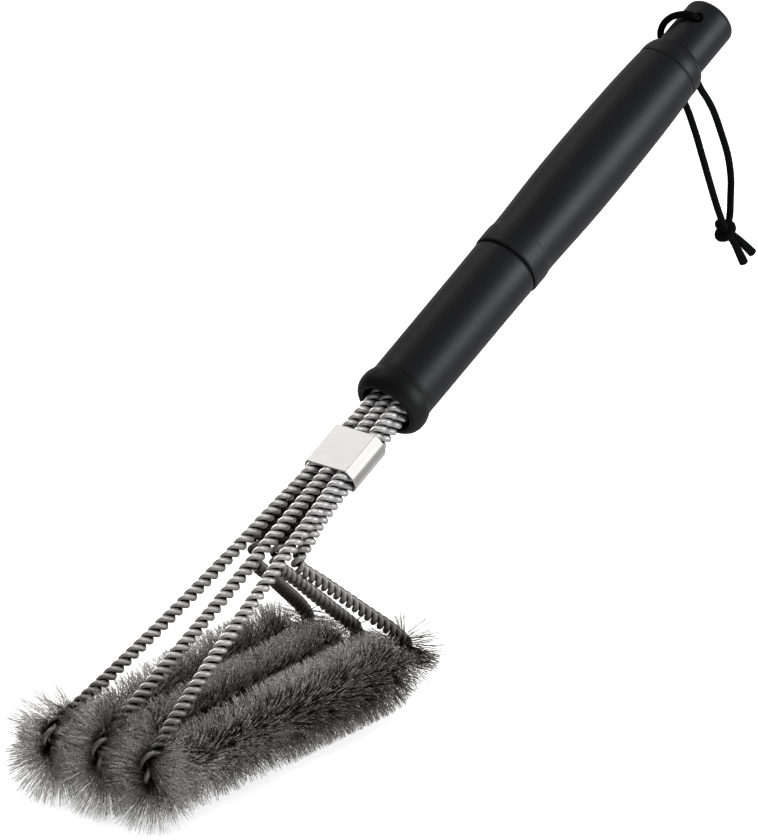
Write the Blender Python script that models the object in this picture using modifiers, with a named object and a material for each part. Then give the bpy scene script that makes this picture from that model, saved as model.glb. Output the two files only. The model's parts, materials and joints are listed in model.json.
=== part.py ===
"""Grill cleaning brush: a three-row wire brush head on a turned plastic handle with a hanging cord.

Units are metres, +Z up. The bristle rows run along X. The handle rises towards +X in the plane
y = 0, so the front is at -X and the left side at +Y. The origin lies on the plane of the bristle
tips, under the middle of the centre row.

Two frames are used besides the world:
- the hook frame starts at the front end of the centre row's axis, and is parallel to the world;
- a station s on the handle is the distance up its axis from the step between collar and front
  tube. Its head end has the low stations, its tail end the high ones.
"""

import math

import bmesh
import bpy
import numpy as np
from mathutils import Matrix, Vector

MM = 0.001


def mm(*rows):
    """Rows of millimetres as a list of rows in metres."""
    return [tuple(value * MM for value in row) for row in rows]


# Head
ROW_LENGTH = 161.0 * MM          # front hook to rear bend, along the row
ROW_SPACING = 26.0 * MM          # between neighbouring row axes
BRISTLE_R = 18.4 * MM            # tip radius of a bristle row
HALF_LANE = 12.8 * MM            # half the width that a row may fill on the side of a neighbour
LANES = ((1, "left"), (0, "centre"), (-1, "right"))

# Handle
SLOPE = math.radians(25.0)
AXIS_Z0 = 8.6 * MM               # height of the handle axis over the row axis, at the front hook
JUNCTION_X = 196.9 * MM          # from the front hook to the collar step
TURN_STEPS = 32

HEAD_SHIFT = Vector((-ROW_LENGTH / 2, 0.0, BRISTLE_R))   # start of the hook frame in the world
WELD_DISTANCE = 0.002 * MM


# ---------------------------------------------------------------- scene
def clear_scene():
    for old in list(bpy.data.objects):
        bpy.data.objects.remove(old, do_unlink=True)


def make_collection(name):
    collection = bpy.data.collections.new(name)
    bpy.context.scene.collection.children.link(collection)
    return collection


clear_scene()
PARTS = make_collection("grill_cleaning_brush")
CUTTERS = make_collection("cutters")


# ---------------------------------------------------------------- materials
def make_material(name, colour, roughness, metallic):
    material = bpy.data.materials.new(name)
    material.use_nodes = True
    shader = material.node_tree.nodes["Principled BSDF"]
    shader.inputs["Base Color"].default_value = (*colour, 1.0)
    shader.inputs["Roughness"].default_value = roughness
    shader.inputs["Metallic"].default_value = metallic
    material.diffuse_color = (*colour, 1.0)
    return material


def own_material(obj, base):
    """Give the object its own copy of a base material."""
    material = base.copy()
    material.name = obj.name + "_" + base.name
    obj.data.materials.clear()
    obj.data.materials.append(material)


HANDLE_BLACK = make_material(
    "handle_black", colour=(0.012, 0.013, 0.015), roughness=0.5, metallic=0.0)
INNER_BLACK = make_material(
    "inner_black", colour=(0.006, 0.006, 0.007), roughness=0.8, metallic=0.0)
STRAND_STEEL = make_material(
    "strand_steel", colour=(0.42, 0.40, 0.37), roughness=0.38, metallic=1.0)
BRISTLE_STEEL = make_material(
    "bristle_steel", colour=(0.12, 0.11, 0.10), roughness=0.5, metallic=1.0)
BAND_STEEL = make_material(
    "band_steel", colour=(0.78, 0.77, 0.75), roughness=0.18, metallic=1.0)
CORD_BLACK = make_material(
    "cord_black", colour=(0.004, 0.004, 0.005), roughness=0.9, metallic=0.0)


# ---------------------------------------------------------------- frames
AXIS = Vector((math.cos(SLOPE), 0.0, math.sin(SLOPE)))         # up the handle
RISE = Vector((-math.sin(SLOPE), 0.0, math.cos(SLOPE)))        # square to it, upwards
SIDE = Vector((0.0, 1.0, 0.0))                                 # to the left
JUNCTION = Vector((JUNCTION_X, 0.0, AXIS_Z0 + JUNCTION_X * math.tan(SLOPE))) + HEAD_SHIFT


def on_handle(station, up=0.0, side=0.0):
    return JUNCTION + AXIS * station + RISE * up + SIDE * side


def about_handle(station, radius, degrees):
    """A point at a radius from the handle axis; 0 degrees is on top, 90 on the left side."""
    angle = math.radians(degrees)
    return on_handle(station, radius * math.cos(angle), radius * math.sin(angle))


def axis_frame(station):
    """Local Z runs up the handle, local X is RISE and local Y points to the right."""
    frame = Matrix((RISE, AXIS.cross(RISE), AXIS)).transposed().to_4x4()
    frame.translation = on_handle(station)
    return frame


def from_hook(x, y, z):
    """World place of a point given in the hook frame."""
    return Vector((x, y, z)) + HEAD_SHIFT


def make_frame(name, matrix):
    frame = bpy.data.objects.new(name, None)
    PARTS.objects.link(frame)
    frame.matrix_world = matrix
    return frame


handle_axis = make_frame("handle_axis", axis_frame(0.0))
head_frame = make_frame("head_frame", Matrix.Translation(HEAD_SHIFT))


# ---------------------------------------------------------------- mesh and curve helpers
def adopt(obj, parent):
    obj.parent = parent
    obj.matrix_parent_inverse = Matrix.Identity(4)


def link_mesh(name, bm, collection=PARTS):
    mesh = bpy.data.meshes.new(name)
    bm.to_mesh(mesh)
    bm.free()
    obj = bpy.data.objects.new(name, mesh)
    collection.objects.link(obj)
    return obj


def smooth(obj, degrees=40.0):
    obj.data.shade_smooth()
    obj.data.set_sharp_from_angle(angle=math.radians(degrees))


def make_helper(obj):
    obj.hide_render = True
    obj.display_type = "WIRE"


def add_boolean(obj, name, operation, other):
    modifier = obj.modifiers.new(name, "BOOLEAN")
    modifier.operation = operation
    modifier.solver = "EXACT"
    modifier.object = other
    return modifier


def add_spline(curve, points, cyclic=False):
    spline = curve.splines.new("POLY")
    spline.points.add(len(points) - 1)
    for spline_point, place in zip(spline.points, points):
        spline_point.co = (*place, 1.0)
    spline.use_cyclic_u = cyclic


def mesh_from_curve(name, curve, matrix, material):
    """Turn a curve into a welded mesh object placed by the matrix, and drop the curve."""
    temp = bpy.data.objects.new(name + "_curve", curve)
    PARTS.objects.link(temp)
    temp.matrix_world = matrix
    bpy.context.view_layer.update()
    evaluated = temp.evaluated_get(bpy.context.evaluated_depsgraph_get())
    mesh = bpy.data.meshes.new_from_object(evaluated)
    bm = bmesh.new()
    bm.from_mesh(mesh)
    bmesh.ops.remove_doubles(bm, verts=bm.verts, dist=WELD_DISTANCE)
    bmesh.ops.recalc_face_normals(bm, faces=bm.faces)
    bm.to_mesh(mesh)
    bm.free()
    mesh.name = name
    obj = bpy.data.objects.new(name, mesh)
    PARTS.objects.link(obj)
    obj.matrix_world = temp.matrix_world.copy()
    bpy.data.objects.remove(temp, do_unlink=True)
    bpy.data.curves.remove(curve)
    own_material(obj, material)
    return obj


def flat_prism(name, rings, half_depth, matrix, material):
    """A filled outline with inner outlines as holes, extruded by half_depth each way."""
    curve = bpy.data.curves.new(name, "CURVE")
    curve.dimensions = "2D"
    curve.fill_mode = "BOTH"
    curve.extrude = half_depth
    for ring in rings:
        add_spline(curve, [(x, y, 0.0) for x, y in ring], cyclic=True)
    return mesh_from_curve(name, curve, matrix, material)


def round_wire(name, points, radius, matrix, material):
    """A round wire with closed ends along a line of points."""
    curve = bpy.data.curves.new(name, "CURVE")
    curve.dimensions = "3D"
    curve.bevel_depth = radius
    curve.bevel_resolution = 1
    curve.use_fill_caps = True
    curve.resolution_u = 1
    add_spline(curve, points)
    smooth(mesh_from_curve(name, curve, matrix, material))


# ---------------------------------------------------------------- turned handle pieces
# A profile is a line of (station, radius) in millimetres. It runs along the outer side and back
# along the inner one, or starts and ends on the axis if the piece is solid.
def turned(name, profile, material, closed=True):
    bm = bmesh.new()
    verts = [bm.verts.new((radius, 0.0, station)) for station, radius in mm(*profile)]
    for start, end in zip(verts, verts[1:]):
        bm.edges.new((start, end))
    if closed:
        bm.edges.new((verts[-1], verts[0]))
    obj = link_mesh(name, bm)
    adopt(obj, handle_axis)
    screw = obj.modifiers.new("turn", "SCREW")
    screw.axis = "Z"
    screw.angle = math.tau
    screw.steps = TURN_STEPS
    screw.render_steps = TURN_STEPS
    screw.use_merge_vertices = True
    screw.merge_threshold = 0.01 * MM
    screw.use_normal_calculate = False
    screw.use_smooth_shade = True
    own_material(obj, material)
    return obj


FRONT_COLLAR_PROFILE = (
    (12.0, 12.3), (-0.3, 12.3), (-0.3, 14.7), (-1.6, 15.4), (-3.6, 15.9), (-6.0, 16.0),
    (-8.4, 15.75), (-10.4, 14.9), (-11.6, 13.7), (-12.0, 12.6), (-11.6, 11.7),
    (-10.6, 11.2), (-8.6, 10.9), (12.0, 10.9),
)
FRONT_GRIP_PROFILE = (
    (73.3, 14.5), (72.9, 14.75), (60.0, 14.65), (0.0, 14.6), (0.0, 12.6), (73.3, 12.6),
)
COUPLING_PROFILE = (
    (100.0, 11.95), (74.2, 11.95), (74.2, 14.2), (73.6, 14.2), (73.6, 12.25),
    (50.0, 12.25), (50.0, 10.0), (100.0, 10.0),
)
REAR_SHOULDER_PROFILE = (
    (199.2, 11.2), (198.7, 12.1), (197.5, 13.0), (195.6, 13.65), (193.4, 13.9),
    (190.3, 13.95), (190.3, 11.6), (170.0, 11.6), (170.0, 8.6), (199.2, 8.6),
)

turned("front_collar", FRONT_COLLAR_PROFILE, HANDLE_BLACK)
turned("front_grip_shell", FRONT_GRIP_PROFILE, HANDLE_BLACK)
turned("coupling_sleeve", COUPLING_PROFILE, INNER_BLACK)
turned("rear_shoulder", REAR_SHOULDER_PROFILE, HANDLE_BLACK)

# Rear grip: a long, gentle bulge behind a raised rim. (station, radius) in millimetres
BULGE_START = (85.0, 14.75)
BULGE_CREST = (125.0, 15.65)
BULGE_END = (190.0, 14.0)
BULGE_STATIONS = (BULGE_END[0], 176.0, 162.0, 148.0, 134.0, 122.0, 110.0, 98.0, BULGE_START[0])
REAR_GRIP_RIM_AND_BORE = (
    (84.2, 15.2), (83.2, 15.35), (75.3, 15.35), (74.5, 14.95), (74.5, 12.6),
    (BULGE_END[0], 12.0),
)


def bulge_radius(station):
    crest_station, crest_radius = BULGE_CREST
    if station < crest_station:
        start_station, start_radius = BULGE_START
        part = (station - start_station) / (crest_station - start_station)
        return start_radius + (crest_radius - start_radius) * (3 * part ** 2 - 2 * part ** 3)
    end_station, end_radius = BULGE_END
    part = (station - crest_station) / (end_station - crest_station)
    return crest_radius - (crest_radius - end_radius) * part ** 1.9


bulge = [(station, bulge_radius(station)) for station in BULGE_STATIONS]
turned("rear_grip_shell", (*bulge, *REAR_GRIP_RIM_AND_BORE), HANDLE_BLACK)

# End cap: solid, with a rounded tail edge and a spigot towards the head, in millimetres
CAP_END_S = 225.0
CAP_STEP_S = 199.5
CAP_R = 10.9
CAP_EDGE_R = 3.5
CAP_EDGE_STEPS = 5
SPIGOT_S = 186.0
SPIGOT_R = 8.3


def end_cap_profile():
    profile = [(CAP_END_S, 0.0)]
    for i in range(CAP_EDGE_STEPS + 1):
        angle = math.radians(90.0 - 90.0 * i / CAP_EDGE_STEPS)
        profile.append((CAP_END_S - CAP_EDGE_R + CAP_EDGE_R * math.sin(angle),
                        CAP_R - CAP_EDGE_R + CAP_EDGE_R * math.cos(angle)))
    return profile + [(CAP_STEP_S, CAP_R), (CAP_STEP_S, SPIGOT_R), (SPIGOT_S, SPIGOT_R),
                      (SPIGOT_S, 0.0)]


end_cap = turned("end_cap", end_cap_profile(), HANDLE_BLACK, closed=False)

# The cord's hole runs straight through the cap
HOLE_R = 2.25 * MM
HOLE_CUTTER_LENGTH = 50.0 * MM
HOLE_TILT = math.radians(16.0)   # the hole's top leans this far out of the handle's plane, right
HOLE_CENTRE = on_handle(214.2 * MM)
HOLE_AXIS = RISE * math.cos(HOLE_TILT) - SIDE * math.sin(HOLE_TILT)


def cord_hole_cutter():
    bpy.ops.mesh.primitive_cylinder_add(vertices=20, radius=HOLE_R, depth=HOLE_CUTTER_LENGTH)
    cutter = bpy.context.object
    cutter.name = "cord_hole_cutter"
    for collection in list(cutter.users_collection):
        collection.objects.unlink(cutter)
    CUTTERS.objects.link(cutter)
    cutter.rotation_euler = HOLE_AXIS.to_track_quat("Z", "Y").to_euler()
    cutter.location = HOLE_CENTRE
    make_helper(cutter)
    return cutter


add_boolean(end_cap, "cord_hole", "DIFFERENCE", cord_hole_cutter())

# Packing in the mouth and the block that grips the wires, both with one rounded pocket
MOUTH_PACKING_PROFILE = ((3.0, 0.0), (3.0, 10.6), (-7.6, 10.6), (-7.6, 0.0))
WIRE_ANCHOR_PROFILE = (
    (38.0, 0.0), (38.0, 12.2), (12.5, 12.2), (12.5, 10.5), (3.4, 10.5), (3.4, 0.0),
)
POCKET_HALF_WIDTH = 9.15 * MM    # across the handle's plane
POCKET_HALF_HEIGHT = 5.35 * MM
POCKET_CORNER_R = 2.6 * MM
POCKET_START_S = -30.0 * MM
POCKET_END_S = 70.0 * MM


def wire_pocket_cutter():
    """A prism with rounded corners along the handle axis."""
    bm = bmesh.new()
    ring = []
    corners = ((1, 1, 0.0), (-1, 1, 90.0), (-1, -1, 180.0), (1, -1, 270.0))
    for sign_x, sign_y, first_degrees in corners:
        for k in range(5):
            angle = math.radians(first_degrees + 22.5 * k)
            x = (POCKET_HALF_HEIGHT - POCKET_CORNER_R) * sign_x + POCKET_CORNER_R * math.cos(angle)
            y = (POCKET_HALF_WIDTH - POCKET_CORNER_R) * sign_y + POCKET_CORNER_R * math.sin(angle)
            ring.append(bm.verts.new((x, y, POCKET_START_S)))
    face = bm.faces.new(ring)
    grown = bmesh.ops.extrude_face_region(bm, geom=[face])["geom"]
    moved = [item for item in grown if isinstance(item, bmesh.types.BMVert)]
    bmesh.ops.translate(bm, vec=(0.0, 0.0, POCKET_END_S - POCKET_START_S), verts=moved)
    bmesh.ops.recalc_face_normals(bm, faces=bm.faces)
    cutter = link_mesh("wire_pocket_cutter", bm, CUTTERS)
    cutter.matrix_world = axis_frame(0.0)
    make_helper(cutter)
    return cutter


pocket = wire_pocket_cutter()
for holder_name, holder_profile in (("mouth_packing", MOUTH_PACKING_PROFILE),
                                    ("wire_anchor_block", WIRE_ANCHOR_PROFILE)):
    holder = turned(holder_name, holder_profile, INNER_BLACK, closed=False)
    add_boolean(holder, "wire_pocket", "DIFFERENCE", pocket)


# ---------------------------------------------------------------- band
# A flattened sleeve round the wires: flat top and bottom, bulging sides
BAND_S = -41.0 * MM
BAND_LENGTH = 22.0 * MM
BAND_HALF_FLAT = 10.15 * MM      # half the width of the flats
BAND_HALF_H = 6.0 * MM
BAND_BULGE = 2.9 * MM
BAND_WALL = 0.7 * MM
BAND_INNER_INSET = 0.1 * MM      # the inner flats are shorter by this at each end


def band_ring(half_flat, half_height, bulge_depth):
    points = []
    for sign in (1, -1):
        for k in range(7):
            angle = math.radians(90.0 - 30.0 * k)
            points.append((sign * half_height * math.sin(angle),
                           sign * (half_flat + bulge_depth * math.cos(angle))))
    return points


flat_prism(
    "wire_band",
    [band_ring(BAND_HALF_FLAT, BAND_HALF_H, BAND_BULGE),
     band_ring(BAND_HALF_FLAT - BAND_INNER_INSET, BAND_HALF_H - BAND_WALL,
               BAND_BULGE - BAND_WALL)],
    BAND_LENGTH / 2,
    axis_frame(BAND_S),
    BAND_STEEL,
)


# ---------------------------------------------------------------- wire loops
# Each row has one rope of two strands, bent into a loop with both ends inside the handle.
# All places are in the hook frame.
STRAND_R = 1.20 * MM
STRAND_OFFSET = 1.34 * MM        # strand centre from the rope's own axis
LAYER = 2.65 * MM                # upper and lower ropes lie this far above and below the handle axis
ROPE_END_X = JUNCTION_X + 22.0 * MM * math.cos(SLOPE)

# x, and how far an outer rope's leg stands there from the middle plane
ROPE_SIDES = [(0.0, ROW_SPACING)] + mm(
    (27.0, 21.4), (54.0, 17.1), (82.0, 13.0), (109.0, 10.5), (127.0, 9.0),
    (143.0, 7.1), (171.0, 7.0), (186.0, 6.25), (230.0, 6.2),
)
# x of the points on the upper leg, down from the handle, and on the lower leg, up to it
UPPER_LEG_X = (ROPE_END_X, *mm((
    200.0, 186.0, 171.0, 143.0, 127.0, 109.0, 92.0, 75.0, 58.0, 41.0, 26.0, 13.0))[0])
LOWER_LEG_X = (*mm((130.0, 143.0, 171.0, 186.0, 200.0))[0], ROPE_END_X)
# (x, z) round the front hook, along the row, and round the high bend
FRONT_HOOK = mm((4.0, 14.6), (-1.8, 12.9), (-4.9, 8.9), (-4.2, 4.2), (-0.6, 0.9), (5.0, 0.0))
ALONG_ROW = mm((30.0, 0.0), (80.0, 0.0), (130.0, 0.0), (158.0, 0.0))
HIGH_BEND = mm((116.1, 54.2), (117.4, 57.6), (121.4, 61.1))
HIGH_BEND_SIDE = 11.6 * MM
# rear bend: an arc that touches the row axis
REAR_BEND_X = 160.0 * MM
REAR_BEND_R = 4.6 * MM
REAR_BEND_DEGREES = (-60.0, -33.75, -7.5, 18.75, 45.0)
# rear leg: a straight line between these (x, side, z), closing in on the middle as it rises
REAR_LEG_FOOT = Vector((160.8 * MM, ROW_SPACING, 11.4 * MM))
REAR_LEG_TOP = Vector((118.0, 12.2, 51.2)) * MM
REAR_LEG_PARTS = (0.16, 0.5, 0.84)


def leg_point(x, lane, layer):
    """A point on the upper (layer +1) or lower (layer -1) leg."""
    side = float(np.interp(x, *zip(*ROPE_SIDES)))
    height = AXIS_Z0 + x * math.tan(SLOPE) + layer * LAYER / math.cos(SLOPE)
    return Vector((x, lane * side, height))


def rear_bend():
    angles = [math.radians(degrees) for degrees in REAR_BEND_DEGREES]
    return [(REAR_BEND_X + REAR_BEND_R * math.cos(angle),
             REAR_BEND_R + REAR_BEND_R * math.sin(angle)) for angle in angles]


def loop_path(lane):
    """Centre line of one rope: down the upper leg, round the front hook, back along the row,
    round the rear bend, up the rear leg, round the high bend and up the lower leg."""
    points = [leg_point(x, lane, 1) for x in UPPER_LEG_X]
    for x, z in FRONT_HOOK + ALONG_ROW + rear_bend():
        points.append(Vector((x, lane * ROW_SPACING, z)))
    for part in REAR_LEG_PARTS:
        x, side, z = REAR_LEG_FOOT.lerp(REAR_LEG_TOP, part)
        points.append(Vector((x, lane * side, z)))
    points += [Vector((x, lane * HIGH_BEND_SIDE, z)) for x, z in HIGH_BEND]
    return points + [leg_point(x, lane, -1) for x in LOWER_LEG_X]


def strand(name, lane, sign):
    """One of the two wires of a rope, which keeps to one side of the rope's axis."""
    centre = loop_path(lane)
    points = []
    for i, place in enumerate(centre):
        before = centre[max(i - 1, 0)]
        after = centre[min(i + 1, len(centre) - 1)]
        tangent = (after - before).normalized()
        across = (SIDE - tangent * SIDE.dot(tangent)).normalized()
        points.append(place + across * (sign * STRAND_OFFSET))
    round_wire(name, points, STRAND_R, head_frame.matrix_world, STRAND_STEEL)


for lane, word in LANES:
    strand(f"wire_loop_{word}_a", lane, 1)
    strand(f"wire_loop_{word}_b", lane, -1)


# ---------------------------------------------------------------- bristle rows
ROW_INSET = 7.0 * MM             # a row stops this far short of each end of its length
CORE_BORE_R = 3.1 * MM
CORE_R = CORE_BORE_R + 0.5 * MM
VANE_T = 0.30 * MM               # a vane stands for the wires in its plane
SHORT_VANE = 11.2 * MM           # the two uppermost vanes stay under the wire legs
SHORT_VANE_DEGREES = (79.0, 101.0)
FOOT_DEGREES = 270.0             # the lowest vane carries the flat on which the brush stands
FOOT_HALF = 4.0 * MM
FOOT_T = 0.45 * MM
# degrees from +Y towards +Z
VANE_DEGREES = (
    0.0, 30.0, 60.0, 79.0, 101.0, 120.0, 150.0, 180.0, 210.0, 240.0, 270.0, 300.0, 330.0,
)


def star_outline(lane):
    """Anticlockwise outline of a hub with thin radial vanes, cut short beside a neighbour."""
    half = VANE_T / 2
    base = math.sqrt(CORE_R ** 2 - half ** 2)
    points = []
    for degrees in VANE_DEGREES:
        angle = math.radians(degrees)
        outward = Vector((math.cos(angle), math.sin(angle)))
        across = Vector((-outward.y, outward.x))
        length = SHORT_VANE if degrees in SHORT_VANE_DEGREES else BRISTLE_R
        beside = (outward.x > 0 and lane < 1) or (outward.x < 0 and lane > -1)
        if beside and abs(outward.x) * BRISTLE_R > HALF_LANE:
            length = HALF_LANE / abs(outward.x)
        # (distance outwards, distance across) round one vane
        if degrees == FOOT_DEGREES:
            foot_top = BRISTLE_R - FOOT_T
            corners = ((base, -half), (foot_top, -half), (foot_top, -FOOT_HALF),
                       (BRISTLE_R, -FOOT_HALF), (BRISTLE_R, FOOT_HALF),
                       (foot_top, FOOT_HALF), (foot_top, half), (base, half))
        else:
            corners = ((base, -half), (length, -half), (length, half), (base, half))
        points += [outward * along + across * aside for along, aside in corners]
    return points


def core_bore():
    angles = [math.tau / 24 + math.tau * i / 12 for i in range(12)]
    return [(CORE_BORE_R * math.cos(angle), CORE_BORE_R * math.sin(angle)) for angle in angles]


def bristle_row(name, lane):
    # local X, Y and Z lie along the world's +Y, +Z and +X
    matrix = Matrix(((0, 0, 1), (1, 0, 0), (0, 1, 0))).to_4x4()
    matrix.translation = from_hook(ROW_LENGTH / 2, lane * ROW_SPACING, 0.0)
    flat_prism(name, [star_outline(lane), core_bore()], ROW_LENGTH / 2 - ROW_INSET, matrix,
               BRISTLE_STEEL)


# ---------------------------------------------------------------- bristle tufts
TUFT_INNER_Y = 3.2 * MM          # the plates start this far from the row's middle
TUFT_OUTER_Y = HALF_LANE - 0.3 * MM
TUFT_TIP_DROP = 2.5 * MM         # a plate is this much shorter at its outer edge
# plate directions, in degrees from +X towards +Z
FRONT_TUFT = dict(
    x=1.4 * MM, z=7.2 * MM, hub_radius=2.4 * MM, reach=23.5 * MM,
    plate_degrees=(75.0, 102.0, 128.0, 154.0, 180.0, 206.0, 232.0, 258.0),
)
REAR_TUFT = dict(
    x=158.3 * MM, z=REAR_BEND_R, hub_radius=1.1 * MM, reach=20.5 * MM,
    plate_degrees=(-84.0, -58.0, -32.0, -6.0, 20.0, 46.0, 72.0),
)


def add_plate(bm, side, degrees, root, reach):
    """A thin radial plate on one side of the rope, standing square to the fan's plane."""
    angle = math.radians(degrees)
    outward = Vector((math.cos(angle), 0.0, math.sin(angle)))
    half_thick = Vector((-outward.z, 0.0, outward.x)) * (VANE_T / 2)
    corners = [
        outward * along + SIDE * (side * across)
        for along, across in ((root, TUFT_INNER_Y), (reach, TUFT_INNER_Y),
                              (reach - TUFT_TIP_DROP, TUFT_OUTER_Y), (root, TUFT_OUTER_Y))
    ]
    low = [bm.verts.new(corner - half_thick) for corner in corners]
    high = [bm.verts.new(corner + half_thick) for corner in corners]
    bm.faces.new(low)
    bm.faces.new(list(reversed(high)))
    for i in range(4):
        j = (i + 1) % 4
        bm.faces.new((low[j], low[i], high[i], high[j]))


def bristle_tuft(name, lane, x, z, hub_radius, reach, plate_degrees):
    """The fan of wires round a bend: plates on both sides of the rope, joined by a hub along Y
    that passes through the inside of the bend."""
    bm = bmesh.new()
    for side in (-1, 1):
        for degrees in plate_degrees:
            # the plates root inside the hub, so that the union joins them
            add_plate(bm, side, degrees, root=hub_radius * 0.55, reach=reach)
    bmesh.ops.recalc_face_normals(bm, faces=bm.faces)
    plates = link_mesh(name + "_plates", bm, CUTTERS)
    make_helper(plates)

    bm = bmesh.new()
    bmesh.ops.create_cone(
        bm, cap_ends=True, segments=12, radius1=hub_radius, radius2=hub_radius,
        depth=2 * TUFT_OUTER_Y, matrix=Matrix.Rotation(math.pi / 2, 4, "X"))
    tuft = link_mesh(name, bm)
    for obj in (tuft, plates):
        obj.location = (x, lane * ROW_SPACING, z)
        adopt(obj, head_frame)
    add_boolean(tuft, "plates", "UNION", plates).use_self = True
    own_material(tuft, BRISTLE_STEEL)


for lane, word in LANES:
    bristle_row(f"bristle_row_{word}", lane)
    bristle_tuft(f"bristle_tuft_front_{word}", lane, **FRONT_TUFT)
    bristle_tuft(f"bristle_tuft_rear_{word}", lane, **REAR_TUFT)


# ---------------------------------------------------------------- hanging cord
CORD_R = 1.35 * MM
KNOT = from_hook(399.9 * MM, -4.2 * MM, 102.0 * MM)
KNOT_HALF_SIZES = (5.1 * MM, 4.4 * MM, 4.3 * MM)

# distances along the hole's axis from its centre, upwards
CORD_IN_HOLE = (-13.6 * MM, -4.0 * MM, 11.5 * MM)
# station and radius in millimetres, degrees from the top towards the left side
CORD_ROUND_CAP = (
    (213.6, 13.9, -4.0), (212.6, 14.4, 20.0), (210.5, 15.1, 45.0), (208.2, 15.2, 66.0),
    (206.4, 15.4, 84.0), (205.4, 15.6, 97.0),
)
# (x, y, z) in the hook frame
CORD_LEGS = {
    "cord_leg_near": mm(
        (384.4, 12.6, 178.0), (383.6, 8.5, 171.0), (383.4, 2.0, 162.1), (386.0, -2.0, 147.0),
        (389.4, -3.5, 131.0), (393.4, -4.2, 115.5), (396.6, -4.2, 108.2),
    ),
    "cord_leg_far": mm(
        (395.8, 2.8, 172.2), (395.9, 2.0, 167.6), (399.2, 1.5, 156.4), (402.4, 0.0, 144.3),
        (404.4, -1.6, 131.9), (404.2, -3.0, 119.0), (402.8, -3.9, 108.2),
    ),
}
# (x, y, z) from the knot's centre
CORD_TAILS = {
    "cord_tail_long": mm((4.6, -2.4, -4.0), (6.6, -3.2, -10.5), (7.9, -2.4, -17.0)),
    "cord_tail_short": mm((6.6, -1.2, -1.6), (9.8, -3.2, -7.5), (12.6, -4.4, -13.6)),
}


def cord(name, points):
    round_wire(name, points, CORD_R, Matrix.Identity(4), CORD_BLACK)


def cord_knot():
    bm = bmesh.new()
    bmesh.ops.create_uvsphere(bm, u_segments=12, v_segments=8, radius=1.0)
    knot = link_mesh("cord_knot", bm)
    knot.data.transform(Matrix.Diagonal((*KNOT_HALF_SIZES, 1.0)))
    knot.location = KNOT
    own_material(knot, CORD_BLACK)
    smooth(knot, 60.0)


cord("cord_through_cap",
     [HOLE_CENTRE + HOLE_AXIS * distance for distance in CORD_IN_HOLE]
     + [about_handle(station * MM, radius * MM, degrees)
        for station, radius, degrees in CORD_ROUND_CAP])
for leg_name, places in CORD_LEGS.items():
    cord(leg_name, [from_hook(*place) for place in places])
cord_knot()
for tail_name, offsets in CORD_TAILS.items():
    cord(tail_name, [KNOT + Vector(offset) for offset in offsets])
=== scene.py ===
"""Grill cleaning brush: three bristled rows of twisted wire, a steel band, a handle and a cord.

Metres, +Z up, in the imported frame's own coordinates. The rows lie along X, side by side in Y,
with their hooks at the front (-X). The handle rises from them towards +X. Shapes are worked out
in mm from the foot of the centre front hook, and build_mesh turns them into metres.
"""

import json
import math
from types import SimpleNamespace

import bpy
import bmesh
import numpy as np
from mathutils import Matrix, Vector

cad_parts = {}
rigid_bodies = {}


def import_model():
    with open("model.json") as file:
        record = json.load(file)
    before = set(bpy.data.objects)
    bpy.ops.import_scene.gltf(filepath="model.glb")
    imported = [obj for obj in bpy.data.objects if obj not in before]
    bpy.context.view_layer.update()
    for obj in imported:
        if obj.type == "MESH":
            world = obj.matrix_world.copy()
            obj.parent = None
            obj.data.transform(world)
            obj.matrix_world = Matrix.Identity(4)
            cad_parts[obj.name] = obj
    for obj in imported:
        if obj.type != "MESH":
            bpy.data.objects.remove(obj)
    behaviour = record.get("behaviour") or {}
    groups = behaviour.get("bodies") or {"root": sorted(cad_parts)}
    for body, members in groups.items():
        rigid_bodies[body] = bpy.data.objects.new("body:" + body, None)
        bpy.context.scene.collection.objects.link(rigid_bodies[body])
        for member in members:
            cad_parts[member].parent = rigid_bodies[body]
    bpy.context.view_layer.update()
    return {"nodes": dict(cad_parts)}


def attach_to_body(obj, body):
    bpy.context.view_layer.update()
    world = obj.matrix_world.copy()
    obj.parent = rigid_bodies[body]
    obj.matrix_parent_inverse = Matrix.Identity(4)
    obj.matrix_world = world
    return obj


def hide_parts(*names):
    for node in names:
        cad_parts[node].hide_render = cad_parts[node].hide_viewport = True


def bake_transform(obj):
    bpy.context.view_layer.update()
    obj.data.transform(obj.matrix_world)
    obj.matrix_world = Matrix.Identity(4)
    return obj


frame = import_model()

MM = 0.001
rng = np.random.default_rng(20417)

# ---------------------------------------------------------------- driving dimensions, mm
TIP_R = 18.4                            # bristle reach from a row's axis, so the axis height
HEAD = np.array([-80.5, 0.0, TIP_R])    # where the working origin lies in the frame
ROW_PITCH = 26.0                        # between the rows, in Y
SLOPE = math.radians(25.0)              # of the handle, above X
SLOPE_FOOT_Z = 8.6                      # height of the handle's axis above x = 0
JUNCTION_X = 196.9

X_AXIS = np.array([1.0, 0.0, 0.0])
Z_AXIS = np.array([0.0, 0.0, 1.0])
AXIS = np.array([math.cos(SLOPE), 0.0, math.sin(SLOPE)])     # along the handle, to its tail
RISE = np.array([-math.sin(SLOPE), 0.0, math.cos(SLOPE)])    # square to it, upwards
SIDE = np.array([0.0, 1.0, 0.0])
JUNCTION = np.array([JUNCTION_X, 0.0, SLOPE_FOOT_Z + JUNCTION_X * math.tan(SLOPE)])


def to_world(point):
    """Working mm to frame metres."""
    return (np.asarray(point, float) + HEAD) * MM


def on_handle(along, up=0.0, side=0.0):
    """A point measured from the handle's mouth along its axis, then off it."""
    return JUNCTION + AXIS * along + RISE * up + SIDE * side


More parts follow.
